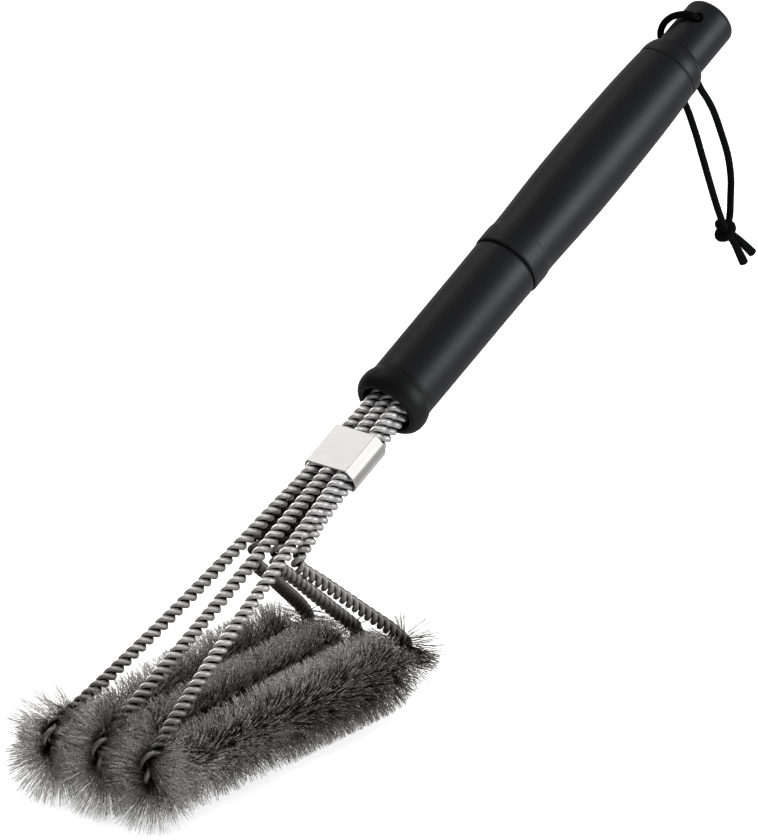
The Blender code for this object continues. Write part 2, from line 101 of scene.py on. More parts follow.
# ---------------------------------------------------------------- shader nodes
class NodeGraph:
    """Adds nodes to a tree; an input takes either a value or another node's output."""

    def __init__(self, tree):
        self.tree = tree

    def put(self, socket, value):
        if isinstance(value, bpy.types.NodeSocket):
            self.tree.links.new(value, socket)
        elif socket.type == "RGBA":
            socket.default_value = (*value, 1.0)
        else:
            socket.default_value = value

    def fill(self, node, inputs):
        for name, value in inputs.items():
            self.put(node.inputs[name], value)

    def node(self, kind, inputs=None, **settings):
        made = self.tree.nodes.new(kind)
        for name, value in settings.items():
            setattr(made, name, value)
        self.fill(made, inputs or {})
        return made

    def ramp(self, source, stops):
        """stops: (position, colour) in rising order."""
        made = self.node("ShaderNodeValToRGB", {"Fac": source})
        elements = made.color_ramp.elements
        while len(elements) < len(stops):
            elements.new(0.5)
        for element, (position, colour) in zip(elements, stops):
            element.position = position
            element.color = (*colour, 1.0)
        return made.outputs["Color"]

    def remap(self, source, given, wanted, interpolation="LINEAR"):
        """Maps the given (low, high) range onto the wanted one."""
        inputs = {"From Min": given[0], "From Max": given[1],
                  "To Min": wanted[0], "To Max": wanted[1], "Value": source}
        made = self.node("ShaderNodeMapRange", inputs, interpolation_type=interpolation)
        return made.outputs["Result"]

    def mix(self, factor, first, second, mode="MIX"):
        made = self.node("ShaderNodeMix", {"Factor": factor, 6: first, 7: second},
                         data_type="RGBA", blend_type=mode)
        return made.outputs[2]


class MaterialNodes(NodeGraph):
    """The node tree of one new material, round its Principled BSDF."""

    def __init__(self, name):
        self.material = bpy.data.materials.new(name)
        self.material.use_nodes = True
        super().__init__(self.material.node_tree)
        self.bsdf = self.tree.nodes["Principled BSDF"]

    def surface(self, inputs):
        self.fill(self.bsdf, inputs)

    def object_coords(self):
        return self.node("ShaderNodeTexCoord").outputs["Object"]

    def mapping(self, source, scale=(1, 1, 1), rotation=(0, 0, 0)):
        inputs = {"Scale": scale, "Rotation": rotation, "Vector": source}
        return self.node("ShaderNodeMapping", inputs).outputs["Vector"]

    def noise(self, vector, scale, detail=3.0, roughness=0.55):
        inputs = {"Scale": scale, "Detail": detail, "Roughness": roughness, "Vector": vector}
        return self.node("ShaderNodeTexNoise", inputs).outputs["Fac"]

    def math(self, operation, first, second):
        made = self.node("ShaderNodeMath", {0: first, 1: second}, operation=operation)
        return made.outputs["Value"]

    def weighted(self, first, first_share, second, second_share):
        return self.math("ADD", self.math("MULTIPLY", first, first_share),
                         self.math("MULTIPLY", second, second_share))

    def bump(self, height, strength, distance):
        inputs = {"Strength": strength, "Distance": distance, "Height": height}
        self.surface({"Normal": self.node("ShaderNodeBump", inputs).outputs["Normal"]})

    def attribute(self, name):
        return self.node("ShaderNodeAttribute", attribute_name=name).outputs["Fac"]


# ---------------------------------------------------------------- materials
def plastic_material(name, colour, roughness, specular=0.5):
    """Moulded black plastic: satin, with a fine grain and a slight broad unevenness."""
    nodes = MaterialNodes(name)
    coords = nodes.object_coords()
    fine = nodes.noise(coords, scale=2600.0, detail=2.0, roughness=0.6)
    grain = nodes.noise(coords, scale=900.0, roughness=0.6)
    broad = nodes.noise(nodes.mapping(coords), scale=34.0, roughness=0.5)
    dark = tuple(c * 0.86 for c in colour)
    light = tuple(c * 1.16 for c in colour)
    nodes.surface({
        "Base Color": nodes.ramp(broad, [(0.25, dark), (0.75, light)]),
        "Roughness": nodes.remap(nodes.weighted(grain, 0.5, broad, 0.5), given=(0.3, 0.7),
                                 wanted=(roughness - 0.05, roughness + 0.06)),
        "Specular IOR Level": specular,
    })
    nodes.bump(nodes.math("ADD", fine, grain), strength=0.22, distance=0.00006)
    return nodes.material


def strand_material():
    """Drawn stainless wire: heat-tinted and sooty near the bristles, with painted shade in the
    grooves, a darkened rear leg and a painted shadow on the lower run in the neck.
    """
    nodes = MaterialNodes("strand_wire")
    coords = nodes.object_coords()
    along = nodes.attribute("along")
    smoke = nodes.noise(coords, scale=60.0, detail=4.0, roughness=0.6)
    fine = nodes.noise(coords, scale=1500.0, detail=2.0, roughness=0.5)
    groove = nodes.attribute("groove")
    soot_and_shade = nodes.attribute("soot_and_shade")
    clean = nodes.ramp(smoke, [(0.25, (0.70, 0.692, 0.688)), (0.75, (0.84, 0.832, 0.828))])
    warm = nodes.ramp(smoke, [(0.25, (0.62, 0.583, 0.560)), (0.75, (0.77, 0.728, 0.702))])
    # soot near the bristles, the rear leg's darkening and the painted shadow on the lower run
    # pull the metal dark
    metal = nodes.mix(nodes.math("MULTIPLY", soot_and_shade, 1.15), nodes.mix(along, clean, warm),
                      (0.062, 0.057, 0.054))
    # painted shade: the skin deep between the strands is darkened, where shade falls in the
    # grooves
    painted_groove_shade = nodes.ramp(groove, [(0.52, (0.01, 0.01, 0.01)), (0.80, (1.0, 1.0, 1.0))])
    nodes.surface({
        "Base Color": nodes.mix(1.0, metal, painted_groove_shade, "MULTIPLY"),
        "Metallic": 1.0,
        "Roughness": nodes.remap(fine, given=(0.3, 0.7), wanted=(0.46, 0.56)),
    })
    nodes.bump(fine, strength=0.12, distance=0.00004)
    return nodes.material


def bristle_material():
    """Fine steel wire, each a little different, with painted light: shade at the roots and on the
    -Y flank, glints along the body, brighter tips.
    """
    nodes = MaterialNodes("bristle_wire")
    tone_and_painted_light = nodes.attribute("tone_and_painted_light")
    along = nodes.attribute("along")
    spark = nodes.noise(nodes.object_coords(), scale=1900.0, detail=2.0, roughness=0.7)
    body = nodes.ramp(tone_and_painted_light, [(0.0, (0.12, 0.109, 0.100)), (0.45, (0.44, 0.412, 0.386)),
                             (1.0, (0.98, 0.95, 0.92))])
    # painted light: the outer part of each wire is mixed towards white
    tips = nodes.mix(0.62, body, (1.0, 0.975, 0.95))
    lit = nodes.mix(nodes.remap(along, given=(0.62, 1.0), wanted=(0.0, 1.0)), body, tips)
    # painted glints: fine noise darkens most of the wire and lifts specks past white
    painted_glints = nodes.ramp(spark, [(0.40, (0.12, 0.115, 0.11)), (0.52, (0.80, 0.80, 0.80)),
                                (0.60, (2.3, 2.28, 2.24))])
    lit = nodes.mix(1.0, lit, painted_glints, "MULTIPLY")
    # painted shade where the shade attribute is low
    lit = nodes.mix(nodes.attribute("shade"), (0.030, 0.027, 0.025), lit)
    # painted shade: each wire is darkened towards its root
    from_root = nodes.remap(along, given=(0.05, 0.6), wanted=(0.0, 1.0))
    nodes.surface({
        "Base Color": nodes.mix(from_root, (0.045, 0.041, 0.038), lit),
        "Metallic": 1.0,
        "Roughness": nodes.remap(tone_and_painted_light, given=(0.0, 1.0), wanted=(0.48, 0.30)),
    })
    return nodes.material


def band_material():
    """Polished stainless sheet, faintly brushed, with painted shade as a dark line along its
    creases.
    """
    nodes = MaterialNodes("band_sheet")
    coords = nodes.object_coords()
    stretched = nodes.mapping(coords, scale=(2600.0, 160.0, 160.0), rotation=(0.0, -SLOPE, 0.0))
    brushed = nodes.noise(stretched, scale=1.0, detail=2.0, roughness=0.5)
    cloud = nodes.noise(coords, scale=90.0, roughness=0.5)
    sheet = nodes.ramp(cloud, [(0.3, (0.86, 0.845, 0.835)), (0.7, (0.94, 0.93, 0.925))])
    # painted shade: a thin dark line along each crease, broken up by fine noise
    crease = nodes.attribute("crease")
    broken = nodes.remap(nodes.noise(coords, scale=1400.0, detail=2.0, roughness=0.5),
                         given=(0.35, 0.65), wanted=(0.45, 1.15))
    crease = nodes.math("MULTIPLY", crease, broken)
    nodes.surface({
        "Base Color": nodes.mix(crease, sheet, (0.10, 0.095, 0.09)),
        "Metallic": 1.0,
        "Roughness": nodes.remap(nodes.weighted(brushed, 0.6, cloud, 0.4),
                                 given=(0.3, 0.7), wanted=(0.16, 0.27)),
    })
    nodes.bump(brushed, strength=0.05, distance=0.00003)
    return nodes.material


def cord_material():
    """Braided black polyester."""
    nodes = MaterialNodes("cord_braid")
    fibre = nodes.noise(nodes.object_coords(), scale=3200.0, roughness=0.65)
    weave = nodes.attribute("weave")
    low = nodes.ramp(fibre, [(0.3, (0.0005, 0.0005, 0.0006)), (0.7, (0.0013, 0.0013, 0.0015))])
    high = nodes.ramp(fibre, [(0.3, (0.0016, 0.0016, 0.0019)), (0.7, (0.0042, 0.0042, 0.0048))])
    nodes.surface({
        "Base Color": nodes.mix(weave, low, high),
        "Roughness": 0.86,
        "Sheen Weight": 0.01,
        "Specular IOR Level": 0.14,
    })
    nodes.bump(fibre, strength=0.35, distance=0.00008)
    return nodes.material


def floor_material():
    """Near-white floor with a glow of its own."""
    nodes = MaterialNodes("studio_floor")
    cloud = nodes.noise(nodes.object_coords(), scale=3.0, detail=2.0)
    nodes.surface({
        "Base Color": nodes.ramp(cloud, [(0.3, (0.90, 0.90, 0.90)), (0.7, (0.93, 0.93, 0.93))]),
        "Roughness": 0.85,
        "Emission Color": (1.0, 1.0, 1.0),
        "Emission Strength": 0.72,
    })
    return nodes.material


HANDLE = plastic_material("handle_plastic", colour=(0.0084, 0.0089, 0.0112), roughness=0.47)
COLLAR = plastic_material("collar_plastic", colour=(0.0030, 0.0032, 0.0038), roughness=0.50,
                          specular=0.34)
INNER = plastic_material("inner_plastic", colour=(0.005, 0.005, 0.0055), roughness=0.7)
STRAND = strand_material()
BRISTLE = bristle_material()
BAND = band_material()
CORD = cord_material()


# ---------------------------------------------------------------- curves
def smooth(x, low, high):
    """0 below low, 1 above high, eased between."""
    share = np.clip((x - low) / (high - low), 0, 1)
    return share * share * (3 - 2 * share)


def unit(vectors):
    return vectors / np.linalg.norm(vectors, axis=1)[:, None]


def spline(points, per_span):
    """Centripetal Catmull-Rom curve through the points."""
    control = np.asarray(points, float)
    control = np.vstack([2 * control[0] - control[1], control, 2 * control[-1] - control[-2]])
    curve = []
    for i in range(1, len(control) - 2):
        four = control[i - 1:i + 3]
        knots = [0.0]
        for step in np.diff(four, axis=0):
            knots.append(knots[-1] + max(np.linalg.norm(step), 1e-9) ** 0.5)
        at = np.linspace(knots[1], knots[2], per_span, endpoint=False)[:, None]

        def between(first, second, j, k):
            span = knots[k] - knots[j]
            return (knots[k] - at) / span * first + (at - knots[j]) / span * second

        lines = [between(four[k], four[k + 1], k, k + 1) for k in range(3)]
        bends = [between(lines[k], lines[k + 1], k, k + 2) for k in range(2)]
        curve.append(between(bends[0], bends[1], 1, 2))
    curve.append(control[-2][None, :])
    return np.vstack(curve)


def run_along(path):
    """Distance from the path's start to each of its points."""
    return np.concatenate([[0.0], np.cumsum(np.linalg.norm(np.diff(path, axis=0), axis=1))])


def resample(points, step):
    """The path in even steps, and the distance to each new point."""
    run = run_along(points)
    count = max(int(round(run[-1] / step)), 2)
    even = np.linspace(0.0, run[-1], count + 1)
    return np.stack([np.interp(even, run, points[:, k]) for k in range(3)], -1), even


def frames(path, start_normal):
    """Tangent, normal and binormal, carried along the path without twist."""
    tangent = unit(np.gradient(path, axis=0))
    normal = np.zeros_like(tangent)
    first = start_normal - tangent[0] * start_normal.dot(tangent[0])
    normal[0] = first / np.linalg.norm(first)
    for i in range(1, len(path)):
        hinge = np.cross(tangent[i - 1], tangent[i])
        sine = np.linalg.norm(hinge)
        carried = normal[i - 1]
        if sine > 1e-9:
            hinge /= sine
            angle = math.atan2(sine, float(tangent[i - 1].dot(tangent[i])))
            carried = (carried * math.cos(angle) + np.cross(hinge, carried) * math.sin(angle)
                       + hinge * hinge.dot(carried) * (1 - math.cos(angle)))
        carried = carried - tangent[i] * carried.dot(tangent[i])
        normal[i] = carried / np.linalg.norm(carried)
    return tangent, normal, np.cross(tangent, normal)


def rounded(points, radii, count=5):
    """Rounds the corners of an open 2D profile; radius 0 keeps a corner."""
    corners = [np.array(point, float) for point in points]
    outline = [corners[0]]
    for i in range(1, len(corners) - 1):
        corner = corners[i]
        if radii[i] <= 0:
            outline.append(corner)
            continue
        back, ahead = corners[i - 1] - corner, corners[i + 1] - corner
        back_length, ahead_length = np.linalg.norm(back), np.linalg.norm(ahead)
        back, ahead = back / back_length, ahead / ahead_length
        angle = math.acos(max(-1.0, min(1.0, float(back.dot(ahead)))))
        if angle > math.pi - 0.02:
            outline.append(corner)
            continue
        cut = min(radii[i] / math.tan(angle / 2), back_length * 0.48, ahead_length * 0.48)
        radius = cut * math.tan(angle / 2)
        middle = (back + ahead) / np.linalg.norm(back + ahead)
        centre = corner + middle * (radius / math.sin(angle / 2))
        start, end = corner + back * cut - centre, corner + ahead * cut - centre
        cosine = float(start.dot(end) / (np.linalg.norm(start) * np.linalg.norm(end)))
        sweep = math.acos(max(-1.0, min(1.0, cosine)))
        for k in range(count + 1):
            share = k / count
            arm = math.sin((1 - share) * sweep) * start + math.sin(share * sweep) * end
            outline.append(centre + arm / math.sin(sweep))
    outline.append(corners[-1])
    return np.array(outline)


# ---------------------------------------------------------------- meshes
def build_mesh(name, points, faces, material, sharp_deg=None):
    """points: (n, 3) in working mm. faces: arrays of quads or triangles."""
    coords = np.asarray(to_world(points), np.float32)
    mesh = bpy.data.meshes.new(name)
    starts = []
    at = 0
    for block in faces:
        starts.append(at + np.arange(len(block)) * block.shape[1])
        at += block.size
    loops = np.concatenate([block.ravel() for block in faces]).astype(np.int32)
    starts = np.concatenate(starts).astype(np.int32)
    mesh.vertices.add(len(coords))
    mesh.vertices.foreach_set("co", coords.ravel())
    mesh.loops.add(len(loops))
    mesh.loops.foreach_set("vertex_index", loops)
    mesh.polygons.add(len(starts))
    mesh.polygons.foreach_set("loop_start", starts)
    mesh.update(calc_edges=True)
    mesh.validate()
    mesh.materials.append(material)
    ob = bpy.data.objects.new(name, mesh)
    bpy.context.scene.collection.objects.link(ob)
    mesh.shade_smooth()
    if sharp_deg:
        mesh.set_sharp_from_angle(angle=math.radians(sharp_deg))
    return ob


def set_attribute(ob, name, values):
    layer = ob.data.attributes.new(name, "FLOAT", "POINT")
    layer.data.foreach_set("value", np.asarray(values, np.float32))


def grid_faces(rows, columns, wrap_rows=False):
    """Quads over a grid of points whose rows are closed rings."""
    row, column = np.meshgrid(np.arange(rows if wrap_rows else rows - 1), np.arange(columns),
                              indexing="ij")
    next_row, next_column = (row + 1) % rows, (column + 1) % columns
    return np.stack([row * columns + column, row * columns + next_column,
                     next_row * columns + next_column, next_row * columns + column],
                    -1).reshape(-1, 4)


def end_fans(rows, columns):
    """Triangles closing the first and last ring; the two centres follow the grid's points."""
    ring = np.arange(columns)
    first_centre = np.full(columns, rows * columns)
    last = (rows - 1) * columns + ring
    return [np.stack([first_centre, np.roll(ring, -1), ring], -1),
            np.stack([first_centre + 1, last, np.roll(last, -1)], -1)]


def around(count):
    return np.linspace(0, 2 * math.pi, count, endpoint=False)


def circle(angles, first, second):
    """A unit ring in the plane of the two vectors, or one ring for each pair of them."""
    return (np.cos(angles)[:, None] * first[..., None, :]
            + np.sin(angles)[:, None] * second[..., None, :])


def make_outward(ob):
    bm = bmesh.new()
    bm.from_mesh(ob.data)
    bmesh.ops.recalc_face_normals(bm, faces=bm.faces)
    if bm.calc_volume(signed=True) < 0:
        bmesh.ops.reverse_faces(bm, faces=bm.faces)
    bm.to_mesh(ob.data)
    bm.free()


def tube(name, path, radius, material, sides, start_normal, relief=None):
    """A round tube with slightly domed ends; relief(angle, run) adds to its radius.

    Returns the object and the relief at each ring point.
    """
    tangent, normal, binormal = frames(path, start_normal)
    angles = around(sides)
    radii = np.broadcast_to(radius, len(path))
    added = relief(angles[None, :], run_along(path)[:, None]) if relief else 0.0
    across = np.repeat(radii[:, None], sides, 1) + added
    skin = path[:, None, :] + circle(angles, normal, binormal) * across[:, :, None]
    points = np.vstack([skin.reshape(-1, 3), path[0] - tangent[0] * radii[0] * 0.25,
                        path[-1] + tangent[-1] * radii[-1] * 0.25])
    faces = [grid_faces(len(path), sides), *end_fans(len(path), sides)]
    return build_mesh(name, points, faces, material), added


# origin, turning axis and the two directions square to it
HANDLE_LATHE = (JUNCTION, AXIS, RISE, SIDE)


def lathe(name, profile, material, steps=160, hollow=True, sharp_deg=35, spin=HANDLE_LATHE):
    """Turns (along, radius) points; a hollow piece's profile is a loop, a solid's is open."""
    origin, axis, first, second = spin
    profile = np.asarray(profile, float)
    rows = len(profile)
    out = circle(around(steps), first, second) * profile[:, 1][:, None, None]
    points = (origin + axis * profile[:, 0][:, None, None] + out).reshape(-1, 3)
    faces = [grid_faces(rows, steps, wrap_rows=hollow)]
    if not hollow:
        points = np.vstack([points, origin + axis * profile[0, 0],
                            origin + axis * profile[-1, 0]])
        faces += end_fans(rows, steps)
    ob = build_mesh(name, points, faces, material, sharp_deg)
    make_outward(ob)
    return ob


def attach(ob, body, slot, *nodes):
    """Ties the object to a moving body and hides the solids it stands for; slot is not used."""
    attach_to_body(ob, body)
    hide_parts(*nodes)


# ---------------------------------------------------------------- handle
# All handle outlines are (distance along from JUNCTION, radius).
CAP_R = 10.9
SHOULDER_TAIL = 199.2
GRIP_TAIL = 190.0
HOLE_AT = 214.2
HOLE_TILT = math.radians(16.0)
HOLE_AXIS = RISE * math.cos(HOLE_TILT) - SIDE * math.sin(HOLE_TILT)
HOLE_CENTRE = on_handle(HOLE_AT)


def front_collar():
    """Flared collar with a rounded lip and a recessed mouth."""
    flare = spline([(0.2, 14.62), (-0.9, 14.72), (-2.0, 15.06), (-3.4, 15.6), (-5.0, 15.93),
                    (-6.6, 16.0), (-8.4, 15.8), (-10.0, 15.2), (-11.2, 14.2), (-11.9, 13.0),
                    (-11.95, 12.2), (-11.5, 11.6), (-10.6, 11.3), (-8.6, 11.15)], 5)
    profile = np.vstack([[(11.8, 12.3), (0.2, 12.3)], flare, [(11.8, 10.9)]])
    ob = lathe("collar_moulding", profile, COLLAR, sharp_deg=50)
    attach(ob, "brush", "handle_plastic", "front_collar")


def front_grip():
    profile = rounded([(40.0, 12.6), (73.3, 12.6), (73.3, 14.78), (60.0, 14.66), (0.25, 14.6),
                       (0.25, 12.6), (40.0, 12.6)], [0, 0.1, 0.5, 2.0, 0.15, 0.1, 0])
    ob = lathe("front_grip_moulding", profile[:-1], HANDLE)
    attach(ob, "brush", "handle_plastic", "front_grip_shell")


def rear_grip():
    """Swelling grip with a raised ring at its front end."""
    swell = spline([(GRIP_TAIL, 14.0), (182.0, 14.46), (172.0, 14.92), (160.0, 15.27),
                    (147.0, 15.5), (134.0, 15.63), (122.0, 15.62), (110.0, 15.42),
                    (99.0, 15.08), (91.0, 14.86), (85.4, 14.78)], 6)
    ring = rounded([(85.4, 14.78), (84.3, 15.10), (82.4, 15.30), (75.3, 15.30), (74.5, 14.92),
                    (74.5, 12.5)], [0, 1.2, 2.2, 0.8, 0.3, 0])
    bore = [(120.0, 12.2), (GRIP_TAIL - 0.1, 12.0), (GRIP_TAIL, 13.8)]
    ob = lathe("rear_grip_moulding", np.vstack([bore, swell[1:], ring[1:]]), HANDLE)
    attach(ob, "brush", "handle_plastic", "rear_grip_shell")


def rear_shoulder():
    """Round shoulder between the rear grip and the end cap."""
    curve = spline([(190.25, 13.80), (190.7, 13.95), (192.0, 13.97), (194.0, 13.80),
                    (196.0, 13.32), (197.6, 12.62), (198.6, 11.9), (SHOULDER_TAIL, 11.15)], 5)
    inside = [(SHOULDER_TAIL, 8.7), (170.2, 8.7), (170.2, 11.5), (190.25, 11.5)]
    ob = lathe("shoulder_moulding", np.vstack([curve, inside]), HANDLE, sharp_deg=50)
    attach(ob, "brush", "handle_plastic", "rear_shoulder")


def cap_drill():
    """Cutter for the cord hole, widening at each mouth; (distance from centre, radius)."""
    half = [(9.0, 2.1), (10.2, 2.25), (CAP_R - 0.05, 2.75), (16.0, 5.2)]
    profile = [(-along, radius) for along, radius in reversed(half)] + half
    spin = (HOLE_CENTRE, HOLE_AXIS, AXIS, np.cross(HOLE_AXIS, AXIS))
    return lathe("drill_tool", profile, HANDLE, steps=40, hollow=False, sharp_deg=None, spin=spin)


def end_cap():
    """Solid cap with a spigot inside the shoulder and a tilted hole for the cord."""
    profile = rounded([(224.5, 0.4), (224.5, CAP_R), (199.35, CAP_R), (199.35, 8.4),
                       (186.2, 8.4), (186.2, 0.4)], [0, 3.6, 0.05, 0.1, 0.6, 0], 9)
    cap = lathe("tail_cap", profile, HANDLE, hollow=False)
    drill = cap_drill()
    cut = cap.modifiers.new("hole", "BOOLEAN")
    cut.operation = "DIFFERENCE"
    cut.solver = "EXACT"
    cut.object = drill
    bpy.context.view_layer.update()
    graph = bpy.context.evaluated_depsgraph_get()
    drilled = bpy.data.meshes.new_from_object(cap.evaluated_get(graph))
    cap.modifiers.clear()
    undrilled = cap.data
    cap.data = drilled
    bpy.data.meshes.remove(undrilled)
    bpy.data.objects.remove(drill, do_unlink=True)
    cap.data.shade_smooth()
    cap.data.set_sharp_from_angle(angle=math.radians(35))
    attach(cap, "brush", "handle_plastic", "end_cap")


def inside_pieces():
    """These keep the frame's own solids."""
    for node in ("mouth_packing", "wire_anchor_block", "coupling_sleeve"):
        ob = frame["nodes"][node]
        if not ob.material_slots:
            ob.data.materials.append(INNER)
        for slot in ob.material_slots:
            slot.material = INNER


front_collar()
front_grip()
rear_grip()
rear_shoulder()
end_cap()
inside_pieces()


# ---------------------------------------------------------------- the three lanes
# What differs from lane to lane; side is the lane's sign in Y.
# Rope: phase (twist at the start), bulge (of the front hook in X), foot and drop (shift of the
#   rear leg's lower and upper end), leg_darkening (of the rear leg at z 30 and 50),
#   stem_painted_shadow (painted shadow on the lower run above z 60).
# Bristles: tuft_x (where the front tuft starts), density (overall), hook_crowd and hook_thin
#   (more at the hook's foot, fewer up it), rear_thin and rise_thin (fewer at the row's rear end
#   and up its turn), combed (share combed flat at the hook), rear_reach (extra length outside
#   the rear turn), tone_and_painted_light and front_tint (brighter overall, and at the front),
#   shade_depth and shade_power (painted shade: darkening of the -Y flank).
LANES = (
    SimpleNamespace(
        side=1, word="left",
        phase=0.4, bulge=0.0, foot=-0.6, drop=-4.2, leg_darkening=(0.74, 0.66), stem_painted_shadow=0.90,
        tuft_x=13.0, density=0.86, hook_crowd=3.3, hook_thin=0.28, rear_thin=0.58,
        rise_thin=0.22, combed=0.16, rear_reach=-6.5, tone_and_painted_light=0.08, front_tint=0.20,
        shade_depth=0.84, shade_power=1.1),
    SimpleNamespace(
        side=0, word="centre",
        phase=2.0, bulge=0.0, foot=-1.6, drop=-2.2, leg_darkening=(0.50, 0.40), stem_painted_shadow=0.90,
        tuft_x=13.5, density=1.0, hook_crowd=3.2, hook_thin=0.15, rear_thin=0.58,
        rise_thin=0.22, combed=0.34, rear_reach=-5.0, tone_and_painted_light=0.0, front_tint=0.04,
        shade_depth=0.90, shade_power=1.0),
    SimpleNamespace(
        side=-1, word="right",
        phase=1.1, bulge=-0.6, foot=-0.8, drop=0.0, leg_darkening=(0.46, 0.38), stem_painted_shadow=0.10,
        tuft_x=7.6, density=1.0, hook_crowd=3.3, hook_thin=0.30, rear_thin=0.42,
        rise_thin=0.10, combed=0.42, rear_reach=-4.4, tone_and_painted_light=0.0, front_tint=0.0,
        shade_depth=0.70, shade_power=1.5),
)

# ---------------------------------------------------------------- wire loops
STRAND_R = 1.33
STRAND_SIDES = 14
HELIX_R = 1.70       # from the rope's axis to a strand's
LAYER = 2.75         # ropes run this far above and below the handle's axis
# twist pitches: front leg, neck by the band, rear leg, front hook
PITCH_LEG, PITCH_NECK, PITCH_REAR, PITCH_HOOK = 9.1, 8.1, 7.8, 17.0
ROW_TOP = 0.6        # the rope lies in its row below this height

# (x, distance of the outer ropes from the centre)
SPREAD = np.array([
    (-20.0, ROW_PITCH), (0.0, ROW_PITCH), (13.0, 23.9), (27.0, 21.4), (54.0, 17.3),
    (82.0, 13.9), (109.0, 11.2), (127.0, 9.7), (143.0, 8.0), (157.0, 7.5), (171.0, 7.1),
    (186.0, 6.3), (230.0, 6.2)])
ROPE_END_X = JUNCTION_X + 22.0 * math.cos(SLOPE)    # inside the handle
UPPER_X = (ROPE_END_X, 200.0, 186.0, 171.0, 157.0, 143.0, 127.0, 109.0, 92.0, 75.0, 58.0, 41.0,
           26.0, 14.0)
LOWER_X = (130.0, 143.0, 157.0, 171.0, 186.0, 200.0, ROPE_END_X)
# (x, share of the lane's bulge, z)
HOOK = ((6.4, 0.0, 14.4), (1.6, 0.5, 12.8), (-1.6, 1.0, 9.2), (-0.6, 1.0, 4.4), (3.2, 0.5, 1.0),
        (8.5, 0.0, 0.0))
ROW_X = (20.0, 50.0, 80.0, 110.0, 140.0, 155.0)
TURN_X, TURN_R = 159.4, 4.4                         # centre and radius of the row's rear turn
# (x, z) where the rear leg bends over into the neck
BEND = ((115.6, 52.6), (114.0, 55.2), (115.0, 58.0), (119.8, 61.2))
BEND_Y = 11.6


def sloping(lane, stations, layer):
    """Points of the upper (1) or lower (-1) run of rope, parallel to the handle's axis."""
    return [(x, lane.side * float(np.interp(x, SPREAD[:, 0], SPREAD[:, 1])),
             SLOPE_FOOT_Z + x * math.tan(SLOPE) + layer * LAYER / math.cos(SLOPE))
            for x in stations]


def rope_points(lane):
    """From inside the handle to the front hook, back along the row and up to the handle."""
    row_y = lane.side * ROW_PITCH
    points = sloping(lane, UPPER_X, 1)
    points += [(x + lane.bulge * share, row_y, z) for x, share, z in HOOK]
    points += [(x, row_y, 0.0) for x in ROW_X]
    for degrees in (-60.0, -25.0, 10.0, 40.0):
        angle = math.radians(degrees)
        points.append((TURN_X + TURN_R * math.cos(angle), row_y,
                       TURN_R + TURN_R * math.sin(angle)))
    leg_foot = np.array([160.8 + 0.6 * lane.foot, row_y, 11.6 + lane.foot])
    leg_top = np.array([117.4, lane.side * 12.2, 51.2 + lane.drop])
    points += [leg_foot + (leg_top - leg_foot) * share for share in (0.08, 0.3, 0.55, 0.8)]
    bend_foot, bend_top = BEND[0][1], BEND[-1][1]
    for x, z in BEND:
        shift = lane.drop * (bend_top - z) / (bend_top - bend_foot)
        points.append((x, lane.side * BEND_Y, z + shift))
    return points + sloping(lane, LOWER_X, -1)


def lay_rope(lane):
    """The rope's axis, its carried frame and the twist angle along it."""
    path, run = resample(spline(rope_points(lane), 14), 0.42)
    tangent, normal, binormal = frames(path, SIDE)
    x, z = path[:, 0], path[:, 2]
    in_row = run[z < ROW_TOP]
    pitch = np.interp(x + 0.2 * z, [120.0, 165.0], [PITCH_LEG, PITCH_NECK])
    pitch = np.where(run > in_row[-1], np.interp(z, [44.0, 62.0], [PITCH_REAR, PITCH_NECK]),
                     pitch)
    hook = np.clip(1.0 - np.abs(run - (in_row[0] - 9.0)) / 13.0, 0, 1)
    pitch = pitch + (PITCH_HOOK - pitch) * np.clip(hook * 1.6, 0, 1)
    turned = np.cumsum(2 * math.pi / ((pitch[1:] + pitch[:-1]) / 2) * np.diff(run))
    return SimpleNamespace(path=path, run=run, tangent=tangent, normal=normal,
                           binormal=binormal, phase=lane.phase + np.concatenate([[0.0], turned]),
                           returning=run > in_row[-1])


def rope_soot_and_shade(lane, rope):
    """Share of darkening along the rope: soot near the bristles, a darkening of the rear leg by
    lane, and a painted shadow on the lower run in the neck.
    """
    z = rope.path[:, 2]
    soot_and_shade = np.interp(z, [6.0, 16.0, 34.0], [0.50, 0.72, 0.0])
    leg = np.interp(z, [8.0, 30.0, 50.0], [0.82, *lane.leg_darkening])
    # the rear leg is darkened by lane
    soot_and_shade = np.where(rope.returning & (z < 60.0), np.maximum(soot_and_shade, leg), soot_and_shade)
    # painted shadow: the lower run in the neck is darkened, least on the right lane
    return np.where(rope.returning & (z >= 60.0), lane.stem_painted_shadow, soot_and_shade)


def ring_values(values):
    """One value a ring, for all a strand's points and its two end centres."""
    return np.concatenate([np.repeat(values, STRAND_SIDES), values[:1], values[-1:]])


def groove_values(ob, path):
    """How far a strand's skin stands from the rope's axis: 0 deep between strands, 1 outside."""
    coords = np.zeros(len(ob.data.vertices) * 3, np.float32)
    ob.data.vertices.foreach_get("co", coords)
    skin = coords.reshape(-1, 3)[:-2] / MM - HEAD
    away = np.linalg.norm(skin - np.repeat(path, STRAND_SIDES, 0), axis=1)
    share = np.clip((away - 0.6) / (HELIX_R + STRAND_R - 0.6), 0, 1)
    return np.concatenate([share, [1.0, 1.0]])


